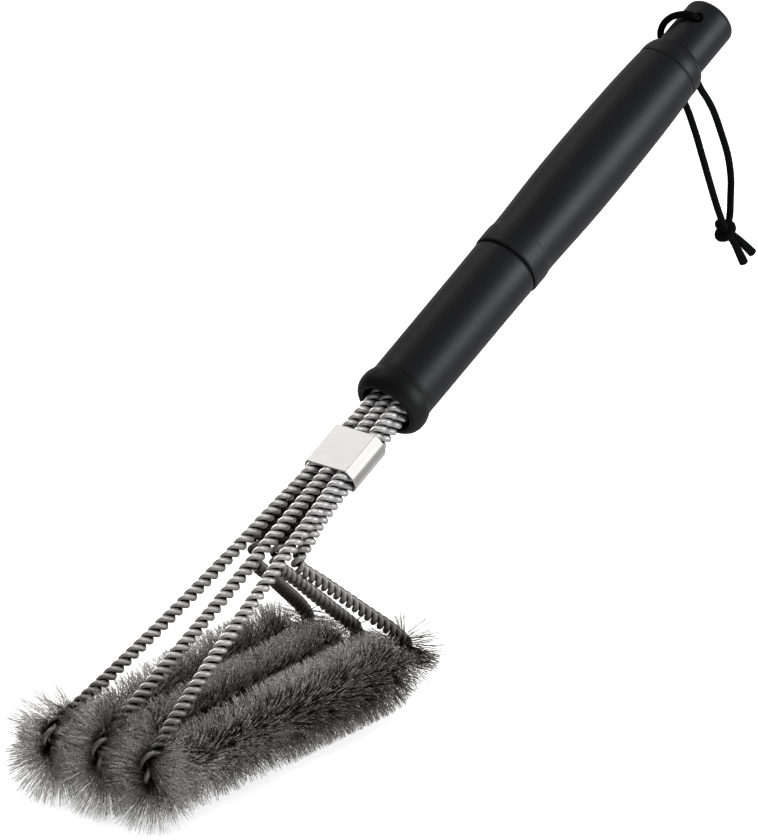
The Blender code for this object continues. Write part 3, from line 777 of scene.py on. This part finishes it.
def twist_strands(lane, rope):
    stain = np.interp(rope.path[:, 2], [40.0, 78.0], [1.0, 0.0])
    soot_and_shade = rope_soot_and_shade(lane, rope)
    for k, letter in enumerate("ab"):
        angle = rope.phase + math.pi * k
        centre = rope.path + HELIX_R * (np.cos(angle)[:, None] * rope.normal
                                        + np.sin(angle)[:, None] * rope.binormal)
        ob, _ = tube(f"wire_{lane.word}_{letter}", centre, STRAND_R, STRAND, STRAND_SIDES, RISE)
        set_attribute(ob, "along", ring_values(stain))
        set_attribute(ob, "soot_and_shade", ring_values(soot_and_shade))
        set_attribute(ob, "groove", groove_values(ob, rope.path))
        attach(ob, "brush", "strand_steel", f"wire_loop_{lane.word}_{letter}")


ropes = {}
for lane in LANES:
    ropes[lane.word] = lay_rope(lane)
    twist_strands(lane, ropes[lane.word])


# ---------------------------------------------------------------- band
BAND_AT = -41.0          # its middle, along the handle from JUNCTION
BAND_HALF_LENGTH = 11.0
BAND_HALF_HEIGHT = 6.0
BAND_WALL = 0.7
CREASE_DEG = 41.0        # where each side's arc starts, from the top face
CREASE_WIDTH = 0.26
ARC_STEPS = 20


def band_section(half_flat, half_height):
    """A closed ring of (up, side, crease): flat top and bottom, an arc on each side."""
    start = math.radians(CREASE_DEG)
    radius = half_height / math.cos(start)
    arc_centre = half_flat - radius * math.sin(start)
    ring = []
    for sign in (1, -1):
        for k in range(ARC_STEPS + 1):
            angle = start + (math.pi - 2 * start) * k / ARC_STEPS
            up = sign * radius * math.cos(angle)
            crease = 0.0
            # the points at the creases carry the painted shade line
            if k in (0, ARC_STEPS):
                crease = 0.8
                up -= 0.10 * CREASE_WIDTH * (1 if up > 0 else -1)
            ring.append((up, sign * (arc_centre + radius * math.sin(angle)), crease))
        for share in (1.0, 0.55, 0.0, -0.55, -1.0):
            ring.append((-sign * half_height, sign * share * (half_flat - CREASE_WIDTH), 0.0))
    # one more point just beyond each crease keeps its dark line narrow
    section = []
    for here, ahead in zip(ring, ring[1:] + ring[:1]):
        section.append(here)
        gap = math.hypot(here[0] - ahead[0], here[1] - ahead[1])
        if (here[2] > 0) != (ahead[2] > 0) and gap > CREASE_WIDTH * 1.05:
            share = CREASE_WIDTH / gap
            share = share if here[2] > 0 else 1 - share
            section.append((here[0] + (ahead[0] - here[0]) * share,
                            here[1] + (ahead[1] - here[1]) * share, 0.0))
    return np.array(section)


def band():
    """Sheet sleeve round the neck, with softened ends."""
    outer = band_section(10.15, BAND_HALF_HEIGHT)
    inner = band_section(9.85, BAND_HALF_HEIGHT - BAND_WALL)
    half = BAND_HALF_LENGTH
    # (distance from the middle, share of the way from the outer to the inner section)
    outside = [(half, 0.35), (half - 0.06, 0.12), (half - 0.28, 0.0), (half - 1.2, 0.0),
               (half / 2, 0.0)]
    inside = [(half, 0.65), (half - 0.1, 0.9), (half - 0.3, 1.0)]
    rows = [(-along, share) for along, share in outside] + [(0.0, -0.012)] + outside[::-1]
    rows += inside + [(-along, share) for along, share in inside[::-1]]
    points = []
    for along, share in rows:
        ring = outer * (1 - share) + inner * share
        points.append(on_handle(BAND_AT + along) + ring[:, :1] * RISE + ring[:, 1:2] * SIDE)
    faces = [grid_faces(len(rows), len(outer), wrap_rows=True)]
    ob = build_mesh("band_sleeve", np.vstack(points), faces, BAND, sharp_deg=14)
    set_attribute(ob, "crease", np.tile(outer[:, 2], len(rows)))
    make_outward(ob)
    attach(ob, "brush", "band_steel", "wire_band")


band()


# ---------------------------------------------------------------- bristles
WIRE_R = 0.105
PER_MM = 66.0         # wires to a mm of rope, at density 1
WIRE_RINGS = 4
WIRE_SIDES = 3
ROOT = 0.4            # wires start this far from the rope's axis
FRONT_HALF_X = 80.0
HOOK_RUN = 260.0      # a piece that starts within this run, in the front half, is hook-like

# per_clump: wires to a clump. wound: share of clumps following the strands' twist, and
# wound_spread their angle off it. run_spread, angle_spread: scatter in a clump. clump_lean,
# wire_lean: lean along the rope. shortfall: uneven length. cut: share cut much shorter.
# clump_tint: tone scatter between clumps. bright: share of wires made bright as painted glints.
HOOK_STYLE = SimpleNamespace(per_clump=4.5, wound=0.42, wound_spread=0.38, run_spread=0.45,
                             angle_spread=0.10, clump_lean=0.23, wire_lean=0.09, shortfall=1.5,
                             cut=0.30, clump_tint=0.18, bright=0.16)
ROW_STYLE = SimpleNamespace(per_clump=2.4, wound=0.30, wound_spread=0.5, run_spread=0.35,
                            angle_spread=0.07, clump_lean=0.06, wire_lean=0.10, shortfall=0.75,
                            cut=0.15, clump_tint=0.06, bright=0.10)


def wire_density(lane, x, z):
    front = (1.0 + lane.hook_crowd * smooth(12.0 - x, 2.0, 9.0) * (1 - smooth(z, 1.5, 6.0))
             - lane.hook_thin * smooth(z, 3.0, 9.0))
    rear = (1.0 - lane.rear_thin * smooth(x, 148.0, 156.5)
            - lane.rise_thin * smooth(z, 0.3, 3.0))
    return np.where(x < FRONT_HALF_X, front, rear) * lane.density


def sow_wires(lane, rope, start_run, end_run):
    """Scatters wires in clumps between two runs along the rope, pointing out all round it."""
    grid = np.linspace(start_run, end_run, 400)
    x = np.interp(grid, rope.run, rope.path[:, 0])
    density = wire_density(lane, x, np.interp(grid, rope.run, rope.path[:, 2]))
    sown = np.concatenate([[0.0], np.cumsum((density[1:] + density[:-1]) / 2 * np.diff(grid))])
    count = int(sown[-1] * PER_MM)
    at_hook = start_run < HOOK_RUN and x[0] < FRONT_HALF_X
    style = HOOK_STYLE if at_hook else ROW_STYLE
    clumps = max(int(count / style.per_clump), 1)
    clump_run = np.interp(rng.uniform(0, sown[-1], clumps), sown, grid)
    wound = rng.random(clumps) < style.wound
    clump_angle = np.where(
        wound,
        rng.normal(0.0, style.wound_spread, clumps) + rng.integers(0, 2, clumps) * math.pi,
        rng.uniform(-math.pi, math.pi, clumps))
    clump = rng.integers(0, clumps, count)
    run = clump_run[clump] + rng.normal(0, style.run_spread, count)
    run = np.clip(run, start_run, end_run)
    index = np.clip(np.searchsorted(rope.run, run), 0, len(rope.run) - 1)
    angle = (rope.phase[index] + math.pi / 2 + clump_angle[clump]
             + rng.normal(0, style.angle_spread, count))
    direction = (np.cos(angle)[:, None] * rope.normal[index]
                 + np.sin(angle)[:, None] * rope.binormal[index])
    # curvature of the rope's axis: which way it bends, and how strongly
    curve = (np.gradient(rope.tangent, axis=0) / np.gradient(rope.run)[:, None])[index]
    amount = np.linalg.norm(curve, axis=1)
    return SimpleNamespace(
        count=count, clumps=clumps, clump=clump, style=style, base=rope.path[index],
        tangent=rope.tangent[index], direction=direction,
        inward=curve / np.maximum(amount, 1e-6)[:, None], bent=smooth(amount, 0.03, 0.10))


def tilt(direction, *pulls):
    """Adds (vector, amount for each wire) pulls to the directions."""
    for towards, amount in pulls:
        direction = direction + towards * amount[:, None]
    return unit(direction)


def facing_inward(direction, wires):
    return (direction * wires.inward).sum(1)


def aim_wires(lane, wires):
    """Turns the wires where the rope bends or the rear leg is in the way.

    Returns the directions and which wires are combed flat.
    """
    direction, bent, style = wires.direction, wires.bent, wires.style
    x, z = wires.base[:, 0], wires.base[:, 2]
    side_sign = np.where(direction[:, 1] >= 0, 1.0, -1.0)
    sideways = side_sign[:, None] * SIDE
    inward = facing_inward(direction, wires)
    # round the front hook many wires are combed flat to both sides
    flat = (rng.random(wires.clumps) < lane.combed)[wires.clump] & (z < 7.0)
    flat = flat & (style is HOOK_STYLE)
    rise = rng.normal(0.06, 0.20, wires.clumps)[wires.clump] - 0.17 * side_sign
    forward = rng.normal(0.12, 0.14, wires.clumps)[wires.clump]
    combed = tilt(sideways, (Z_AXIS, rise), (X_AXIS, -forward))
    direction = np.where(flat[:, None], combed, direction)
    # towards the inside of a bend there is no room: those wires lean out sideways
    direction = tilt(direction, (sideways, bent * np.clip(inward + 0.15, 0, 1) * 1.5),
                     (wires.inward, -(np.clip(inward, 0, 1) * bent * 0.8)))
    # on the outside of a bend, above the row, they part and show the strands
    inward = facing_inward(direction, wires)
    shown = bent * smooth(z, 3.4, 6.2) * np.clip((-inward - 0.25) / 0.75, 0, 1)
    direction = tilt(direction, (sideways, shown * 1.7))
    # the rear leg lies over the end of the row: wires under it part
    under = smooth(x, 146.0, 155.0) * np.clip((direction[:, 2] - 0.65) / 0.35, 0, 1)
    direction = tilt(direction, (sideways, under * 0.9), (Z_AXIS, -(under * 0.5)))
    lean = (rng.normal(0, style.clump_lean, wires.clumps)[wires.clump]
            + rng.normal(0, style.wire_lean, wires.count))
    return tilt(direction, (wires.tangent, lean)), flat


def wire_lengths(lane, wires, direction):
    x, style = wires.base[:, 0], wires.style
    outward = np.clip(-facing_inward(direction, wires), 0, 1)
    reach = (TIP_R * (1.0 - 0.20 * smooth(x, 144.0, 155.0) * (1 - wires.bent))
             + np.where(x < FRONT_HALF_X, 6.2, lane.rear_reach) * wires.bent * outward)
    return (reach - np.abs(rng.normal(0, style.shortfall, wires.count))
            - (rng.random(wires.count) < style.cut) * rng.uniform(0, 5.0, wires.count))


def wire_skin(wires, direction, length, share):
    """Points of all the wires: thin, slightly curled, tapered and kept above the floor."""
    across = np.cross(direction, wires.tangent)
    curl = rng.normal(0, 0.75, wires.count)[:, None] * wires.tangent
    curl = curl + rng.normal(0, 0.75, wires.count)[:, None] * across
    centres = ((wires.base + direction * ROOT)[:, None, :]
               + direction[:, None, :] * (length - ROOT)[:, None, None] * share[None, :, None]
               + curl[:, None, :] * (share ** 2)[None, :, None])
    centres[:, :, 2] = np.maximum(centres[:, :, 2], -TIP_R + 0.02)
    # any direction not along a wire will do to start its cross-section
    first = unit(np.cross(direction, np.array([0.31, 0.52, 0.79])))
    ring = circle(around(WIRE_SIDES), first, np.cross(direction, first))
    past_hook = smooth(wires.base[:, 0], 4.0, 22.0)
    radius = WIRE_R * (1.0 + rng.normal(0, 0.08, wires.count)) * (0.88 + 0.12 * past_hook)
    taper = 1.0 - (0.12 + 0.33 * (1 - past_hook))[:, None] * share[None, :] ** 2
    skin = centres[:, :, None, :] + ring[:, None, :, :] * (radius[:, None] * taper)[:, :, None,
                                                                                  None]
    return skin.reshape(-1, 3)


def wire_tones_and_painted_light(lane, wires, flank, flat):
    style, count = wires.style, wires.count
    # random tone by wire and clump, plus painted light: a share of bright wires as painted
    # glints, and painted shade on wires pointing to -Y
    tone_and_painted_light = (rng.beta(1.6, 3.2, count) * 0.75
            + rng.normal(0, style.clump_tint, wires.clumps)[wires.clump]
            + (rng.random(count) < style.bright) * rng.uniform(0.3, 0.6, count) - 0.20 * flank)
    at_front = 1 - smooth(wires.base[:, 0], 4.0, 22.0)
    tone_and_painted_light = tone_and_painted_light + (0.22 + lane.front_tint) * at_front + lane.tone_and_painted_light + 0.10 * flat
    return np.clip(tone_and_painted_light, 0, 1)


def make_bristles(name, lane, rope, start_run, end_run, node):
    wires = sow_wires(lane, rope, start_run, end_run)
    direction, flat = aim_wires(lane, wires)
    length = wire_lengths(lane, wires, direction)
    share = np.linspace(0, 1, WIRE_RINGS)
    points = wire_skin(wires, direction, length, share)
    per_wire = WIRE_RINGS * WIRE_SIDES
    first_point = np.arange(wires.count)[:, None, None] * per_wire
    ends = np.array([(2, 1, 0), (per_wire - 3, per_wire - 2, per_wire - 1)])
    faces = [(first_point + grid_faces(WIRE_RINGS, WIRE_SIDES)[None]).reshape(-1, 4),
             (first_point + ends[None]).reshape(-1, 3)]
    ob = build_mesh(name, points, faces, BRISTLE)
    # how far a wire points to -Y without pointing forward
    flank = (np.clip(-direction[:, 1], 0, 1) * (1 - np.clip(-direction[:, 0], 0, 1))
             * smooth(wires.base[:, 0], 12.0, 40.0))
    # painted shade: wires pointing to -Y are darkened, by shade_depth and shade_power
    shade = 1.0 - lane.shade_depth * np.clip(flank, 0, 1) ** lane.shade_power
    set_attribute(ob, "along", np.tile(np.repeat(share, WIRE_SIDES), wires.count))
    set_attribute(ob, "tone_and_painted_light", np.repeat(wire_tones_and_painted_light(lane, wires, flank, flat), per_wire))
    set_attribute(ob, "shade", np.repeat(shade, per_wire))
    attach(ob, "brush", "bristle_steel", node)


def lane_bristles(lane):
    """Front tuft, the row in two halves, and rear tuft."""
    rope = ropes[lane.word]
    run, x, z = rope.run, rope.path[:, 0], rope.path[:, 2]
    low = run[(z < ROW_TOP) & (x > 3.0) & (x < 158.0)]
    row_start, row_end = low[0] + 2.0, low[-1] - 6.0
    middle = (row_start + row_end) / 2
    tuft_start = run[(x < lane.tuft_x) & (run < row_start)][0]
    tuft_end = run[(run > row_end) & (z < 9.5)][-1]
    for part, start, end, node in (
        ("front", tuft_start, row_start, "bristle_tuft_front"),
        ("row_a", row_start, middle, "bristle_row"),
        ("row_b", middle, row_end, "bristle_row"),
        ("rear", row_end, tuft_end, "bristle_tuft_rear"),
    ):
        make_bristles(f"bristles_{lane.word}_{part}", lane, rope, start, end,
                      f"{node}_{lane.word}")


for lane in LANES:
    lane_bristles(lane)


# ---------------------------------------------------------------- hanging cord
CORD_R = 1.45
CORD_SIDES = 18
BRAID_PITCH = 4.4
KNOT = np.array([399.3, -3.5, 102.0])
KNOT_CORD_R = 1.85
KNOT_SIDES = 16
KNOT_RUN = 48.0       # cord length the braid is spread over, round the knot


def about_handle(along, radius, degrees):
    """A point at an angle round the handle's axis, from RISE towards SIDE."""
    angle = math.radians(degrees)
    return on_handle(along, radius * math.cos(angle), radius * math.sin(angle))


def braid(angle, run):
    """Relief of strands crossing over and under, as on a round braided cord."""
    turn = 2 * math.pi * run / BRAID_PITCH
    one_way = np.sin(3 * angle + turn)
    other_way = np.sin(3 * angle - turn)
    return 0.085 * (np.maximum(np.abs(one_way), np.abs(other_way)) - 0.7) * 1.6


def weave_share(relief):
    return np.clip((relief - relief.min()) / (relief.max() - relief.min()), 0, 1).ravel()


def cord_piece(name, points, step=0.4, spread=0.0):
    """A braided length; spread widens it towards its far end."""
    path, run = resample(spline(points, 14), step)
    radius = CORD_R * (1.0 + spread * smooth(run, 0.2 * run[-1], run[-1]))
    ob, relief = tube(name, path, radius, CORD, CORD_SIDES, SIDE, relief=braid)
    set_attribute(ob, "weave", np.concatenate([weave_share(relief), [0.3, 0.3]]))
    return ob


def cord_loop():
    """Both legs, from the cap's hole down to the knot."""
    near = cord_piece("hang_cord_near", [
        HOLE_CENTRE - HOLE_AXIS * 0.5, HOLE_CENTRE + HOLE_AXIS * 6.0,
        HOLE_CENTRE + HOLE_AXIS * 10.0,
        about_handle(213.3, 12.35, -8.0), about_handle(212.3, 12.6, 10.0),
        about_handle(210.6, 13.2, 34.0), about_handle(208.3, 13.7, 56.0),
        about_handle(206.4, 13.7, 76.0),
        (384.0, 13.2, 184.5), (383.9, 12.2, 177.6), (383.5, 9.0, 170.6), (383.3, 2.0, 162.1),
        (385.0, -1.3, 150.5), (387.2, -3.0, 139.0), (390.2, -3.9, 127.0), (393.6, -4.4, 115.5),
        (396.4, -4.6, 107.8), (398.6, -4.4, 103.4)])
    far = cord_piece("hang_cord_far", [
        HOLE_CENTRE + HOLE_AXIS * 0.2, HOLE_CENTRE - HOLE_AXIS * 6.0,
        HOLE_CENTRE - HOLE_AXIS * 11.0,
        HOLE_CENTRE - HOLE_AXIS * 13.6 + np.array([-0.4, -0.3, -1.0]),
        (392.7, 2.6, 173.6), (391.7, 2.1, 169.2), (393.5, 1.8, 165.0), (397.1, 1.5, 159.3),
        (400.3, 1.2, 153.0), (403.2, 0.0, 142.8), (405.2, -1.5, 132.6), (405.5, -2.5, 122.9),
        (403.9, -3.3, 113.9), (402.6, -3.9, 108.2), (401.0, -4.0, 103.4)])
    for ob, nodes in ((near, ("cord_through_cap", "cord_leg_near")), (far, ("cord_leg_far",))):
        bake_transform(ob)
        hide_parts(*nodes)


def cord_knot():
    """Overhand knot: a closed trefoil of cord."""
    turn = around(150)
    trefoil = np.stack([np.sin(turn) + 2 * np.sin(2 * turn),
                        np.cos(turn) - 2 * np.cos(2 * turn), -1.15 * np.sin(3 * turn)], -1)
    trefoil = trefoil * np.array([1.22, 1.12, 1.55])
    rotation = np.array(Matrix.Rotation(math.radians(48), 3, "X")
                        @ Matrix.Rotation(math.radians(70), 3, "Z"))
    path = trefoil @ rotation.T + KNOT + np.array([0.2, 0.0, -0.2])
    tangent, normal, binormal = frames(path, SIDE)
    # spread the closing mismatch of the carried frame over the whole loop
    mismatch = math.atan2(float(np.dot(np.cross(normal[-1], normal[0]), tangent[0])),
                          float(normal[-1].dot(normal[0])))
    twist = np.linspace(0, mismatch, len(path))[:, None]
    first = np.cos(twist) * normal + np.sin(twist) * binormal
    second = -np.sin(twist) * normal + np.cos(twist) * binormal
    angles = around(KNOT_SIDES)
    run = np.linspace(0, 1, len(path)) * KNOT_RUN
    radius = KNOT_CORD_R + braid(angles[None, :], run[:, None])
    skin = path[:, None, :] + circle(angles, first, second) * radius[:, :, None]
    ob = build_mesh("hang_cord_knot", skin.reshape(-1, 3),
                    [grid_faces(len(path), KNOT_SIDES, wrap_rows=True)], CORD)
    make_outward(ob)
    set_attribute(ob, "weave", weave_share(radius))
    attach(ob, "cord_end", "cord_textile", "cord_knot")


def cord_tails():
    # points are offsets from KNOT
    for word, offsets in (
        ("long", [(0.8, -0.9, -1.4), (3.2, -1.9, -5.8), (5.5, -2.6, -10.8), (7.9, -3.1, -16.2)]),
        ("short", [(2.2, -0.2, -1.4), (5.4, -1.6, -4.6), (8.6, -3.0, -8.6), (12.0, -4.4, -13.0)]),
    ):
        tail = cord_piece(f"hang_cord_tail_{word}", KNOT + np.array(offsets), step=0.35,
                          spread=0.30)
        attach(tail, "cord_end", "cord_textile", f"cord_tail_{word}")


cord_loop()
cord_knot()
cord_tails()


# ---------------------------------------------------------------- stage
def studio_floor():
    """Seen by the camera and catching shadows, but not mirrored in the brush."""
    bm = bmesh.new()
    bmesh.ops.create_grid(bm, x_segments=2, y_segments=2, size=6.0)
    mesh = bpy.data.meshes.new("studio_floor")
    bm.to_mesh(mesh)
    bm.free()
    mesh.materials.append(floor_material())
    floor = bpy.data.objects.new("studio_floor", mesh)
    floor.location = (0, 0, -0.0006)
    bpy.context.scene.collection.objects.link(floor)
    floor.visible_diffuse = False
    floor.visible_glossy = False


def studio_world():
    """Dim grey surroundings with three pale glows; plain white to the camera."""
    world = bpy.data.worlds.new("studio")
    world.use_nodes = True
    graph = NodeGraph(world.node_tree)
    # Incoming points back at the viewer, so 0 on the ramp is straight up
    incoming = graph.node("ShaderNodeNewGeometry").outputs["Incoming"]
    split = graph.node("ShaderNodeSeparateXYZ", {"Vector": incoming})
    height = graph.remap(split.outputs["Z"], given=(-1.0, 1.0), wanted=(0.0, 1.0))
    surround = graph.ramp(height, [(0.0, (0.22, 0.22, 0.22)), (0.5, (0.13, 0.13, 0.135)),
                                   (1.0, (0.09, 0.09, 0.09))])
    # direction, cosines where the glow starts and is full, strength
    for direction, start, full, strength in (
        ((0.703, 0.592, -0.391), 0.45, 0.9, 0.36),
        ((0.72, -0.57, -0.40), 0.60, 0.97, 0.24),
        ((-0.45, -0.55, -0.70), 0.35, 0.9, 0.55),
    ):
        towards = tuple(-Vector(direction).normalized())
        cosine = graph.node("ShaderNodeVectorMath", {0: incoming, 1: towards},
                            operation="DOT_PRODUCT").outputs["Value"]
        glow = graph.remap(cosine, given=(start, full), wanted=(0.0, strength),
                           interpolation="SMOOTHSTEP")
        surround = graph.mix(1.0, surround, glow, "ADD")
    to_camera = graph.node("ShaderNodeLightPath").outputs["Is Camera Ray"]
    colour = graph.mix(to_camera, surround, (1.0, 1.0, 1.0))
    graph.fill(graph.tree.nodes["Background"], {"Color": colour, "Strength": 1.0})
    bpy.context.scene.world = world


def receivers(name, belongs):
    """A collection of the scene's meshes whose names pass the test."""
    collection = bpy.data.collections.new(name)
    for ob in list(bpy.context.scene.objects):
        if ob.type == "MESH" and belongs(ob.name):
            collection.objects.link(ob)
    return collection


def panel(name, direction, target, distance, size, radiance, colour, lit=None):
    """A soft (width, height) panel seen from the target in that direction.

    radiance is how bright its face looks; lit limits what it lights.
    """
    towards = Vector(direction).normalized()
    light = bpy.data.lights.new(name, "AREA")
    light.shape = "RECTANGLE"
    light.size, light.size_y = size
    light.energy = radiance * math.pi * light.size * light.size_y
    light.color = colour
    ob = bpy.data.objects.new(name, light)
    ob.location = Vector(target) + towards * distance
    ob.rotation_euler = towards.to_track_quat("Z", "Y").to_euler()
    bpy.context.scene.collection.objects.link(ob)
    if lit:
        ob.light_linking.receiver_collection = lit


def studio_lights():
    wires = receivers("wire_parts", lambda name: name.startswith(("bristles_", "wire_",
                                                                  "studio_")))
    only_band = receivers("band_only", lambda name: name.startswith("band_sleeve"))
    not_band = receivers("not_band", lambda name: not name.startswith(("band_sleeve",
                                                                       "bristles_")))
    bristles = receivers("bristles_only", lambda name: name.startswith("bristles_"))
    band_place = tuple(to_world(on_handle(BAND_AT)))
    grip_place = tuple(to_world(on_handle(100.0)))
    panel("band_panel", direction=(0.1525, 0.592, 0.789), target=band_place, distance=1.6,
          size=(0.9, 0.9), radiance=0.74, colour=(1.0, 0.985, 0.965))
    # the overhead and the rim panel are kept off the handle's mouldings
    panel("key_panel", direction=(-0.2, -0.3, 0.93), target=band_place, distance=1.7,
          size=(0.9, 0.9), radiance=4.0, colour=(1.0, 0.99, 0.975), lit=wires)
    panel("side_panel", direction=(0.44, -0.86, 0.25), target=grip_place, distance=1.4,
          size=(0.85, 0.65), radiance=5.0, colour=(0.96, 0.98, 1.0), lit=not_band)
    panel("rim_panel", direction=(0.30, 0.92, 0.22), target=band_place, distance=1.4,
          size=(0.9, 0.9), radiance=8.0, colour=(1.0, 0.99, 0.98), lit=wires)
    panel("front_panel", direction=(-0.90, -0.28, 0.33), target=band_place, distance=1.5,
          size=(0.9, 0.9), radiance=3.2, colour=(1.0, 0.995, 0.99), lit=bristles)
    # the band mirrors this dimmer sheet in place of the bright side panel
    panel("sheet_panel", direction=(0.27, -0.74, 0.58), target=band_place, distance=1.1,
          size=(1.9, 1.9), radiance=0.92, colour=(1.0, 0.985, 0.975), lit=only_band)


# camera: unit directions of the view, its centre from the working origin and its width, in mm
VIEW_RIGHT = np.array([0.63532779, -0.77176036, -0.02728652])
VIEW_UP = np.array([0.31800296, 0.22926003, 0.91995324])
VIEW_CENTRE_RIGHT, VIEW_CENTRE_UP = 112.947883, 142.711726
VIEW_WIDTH = 342.019544
CAMERA_DISTANCE = 2.0    # metres


def studio_camera():
    """Parallel view from the front, the -Y side and above."""
    back = np.cross(VIEW_RIGHT, VIEW_UP)
    centre = VIEW_RIGHT * VIEW_CENTRE_RIGHT + VIEW_UP * VIEW_CENTRE_UP
    data = bpy.data.cameras.new("camera")
    data.type = "ORTHO"
    data.ortho_scale = VIEW_WIDTH * MM
    data.clip_start = 0.05
    data.clip_end = 20.0
    camera = bpy.data.objects.new("camera", data)
    matrix = Matrix(np.column_stack((VIEW_RIGHT, VIEW_UP, back)).tolist()).to_4x4()
    matrix.translation = Vector(to_world(centre)) + Vector(back) * CAMERA_DISTANCE
    camera.matrix_world = matrix
    bpy.context.scene.collection.objects.link(camera)
    bpy.context.scene.camera = camera


studio_floor()
studio_world()
studio_lights()
studio_camera()
bpy.context.scene.view_settings.view_transform = "Standard"
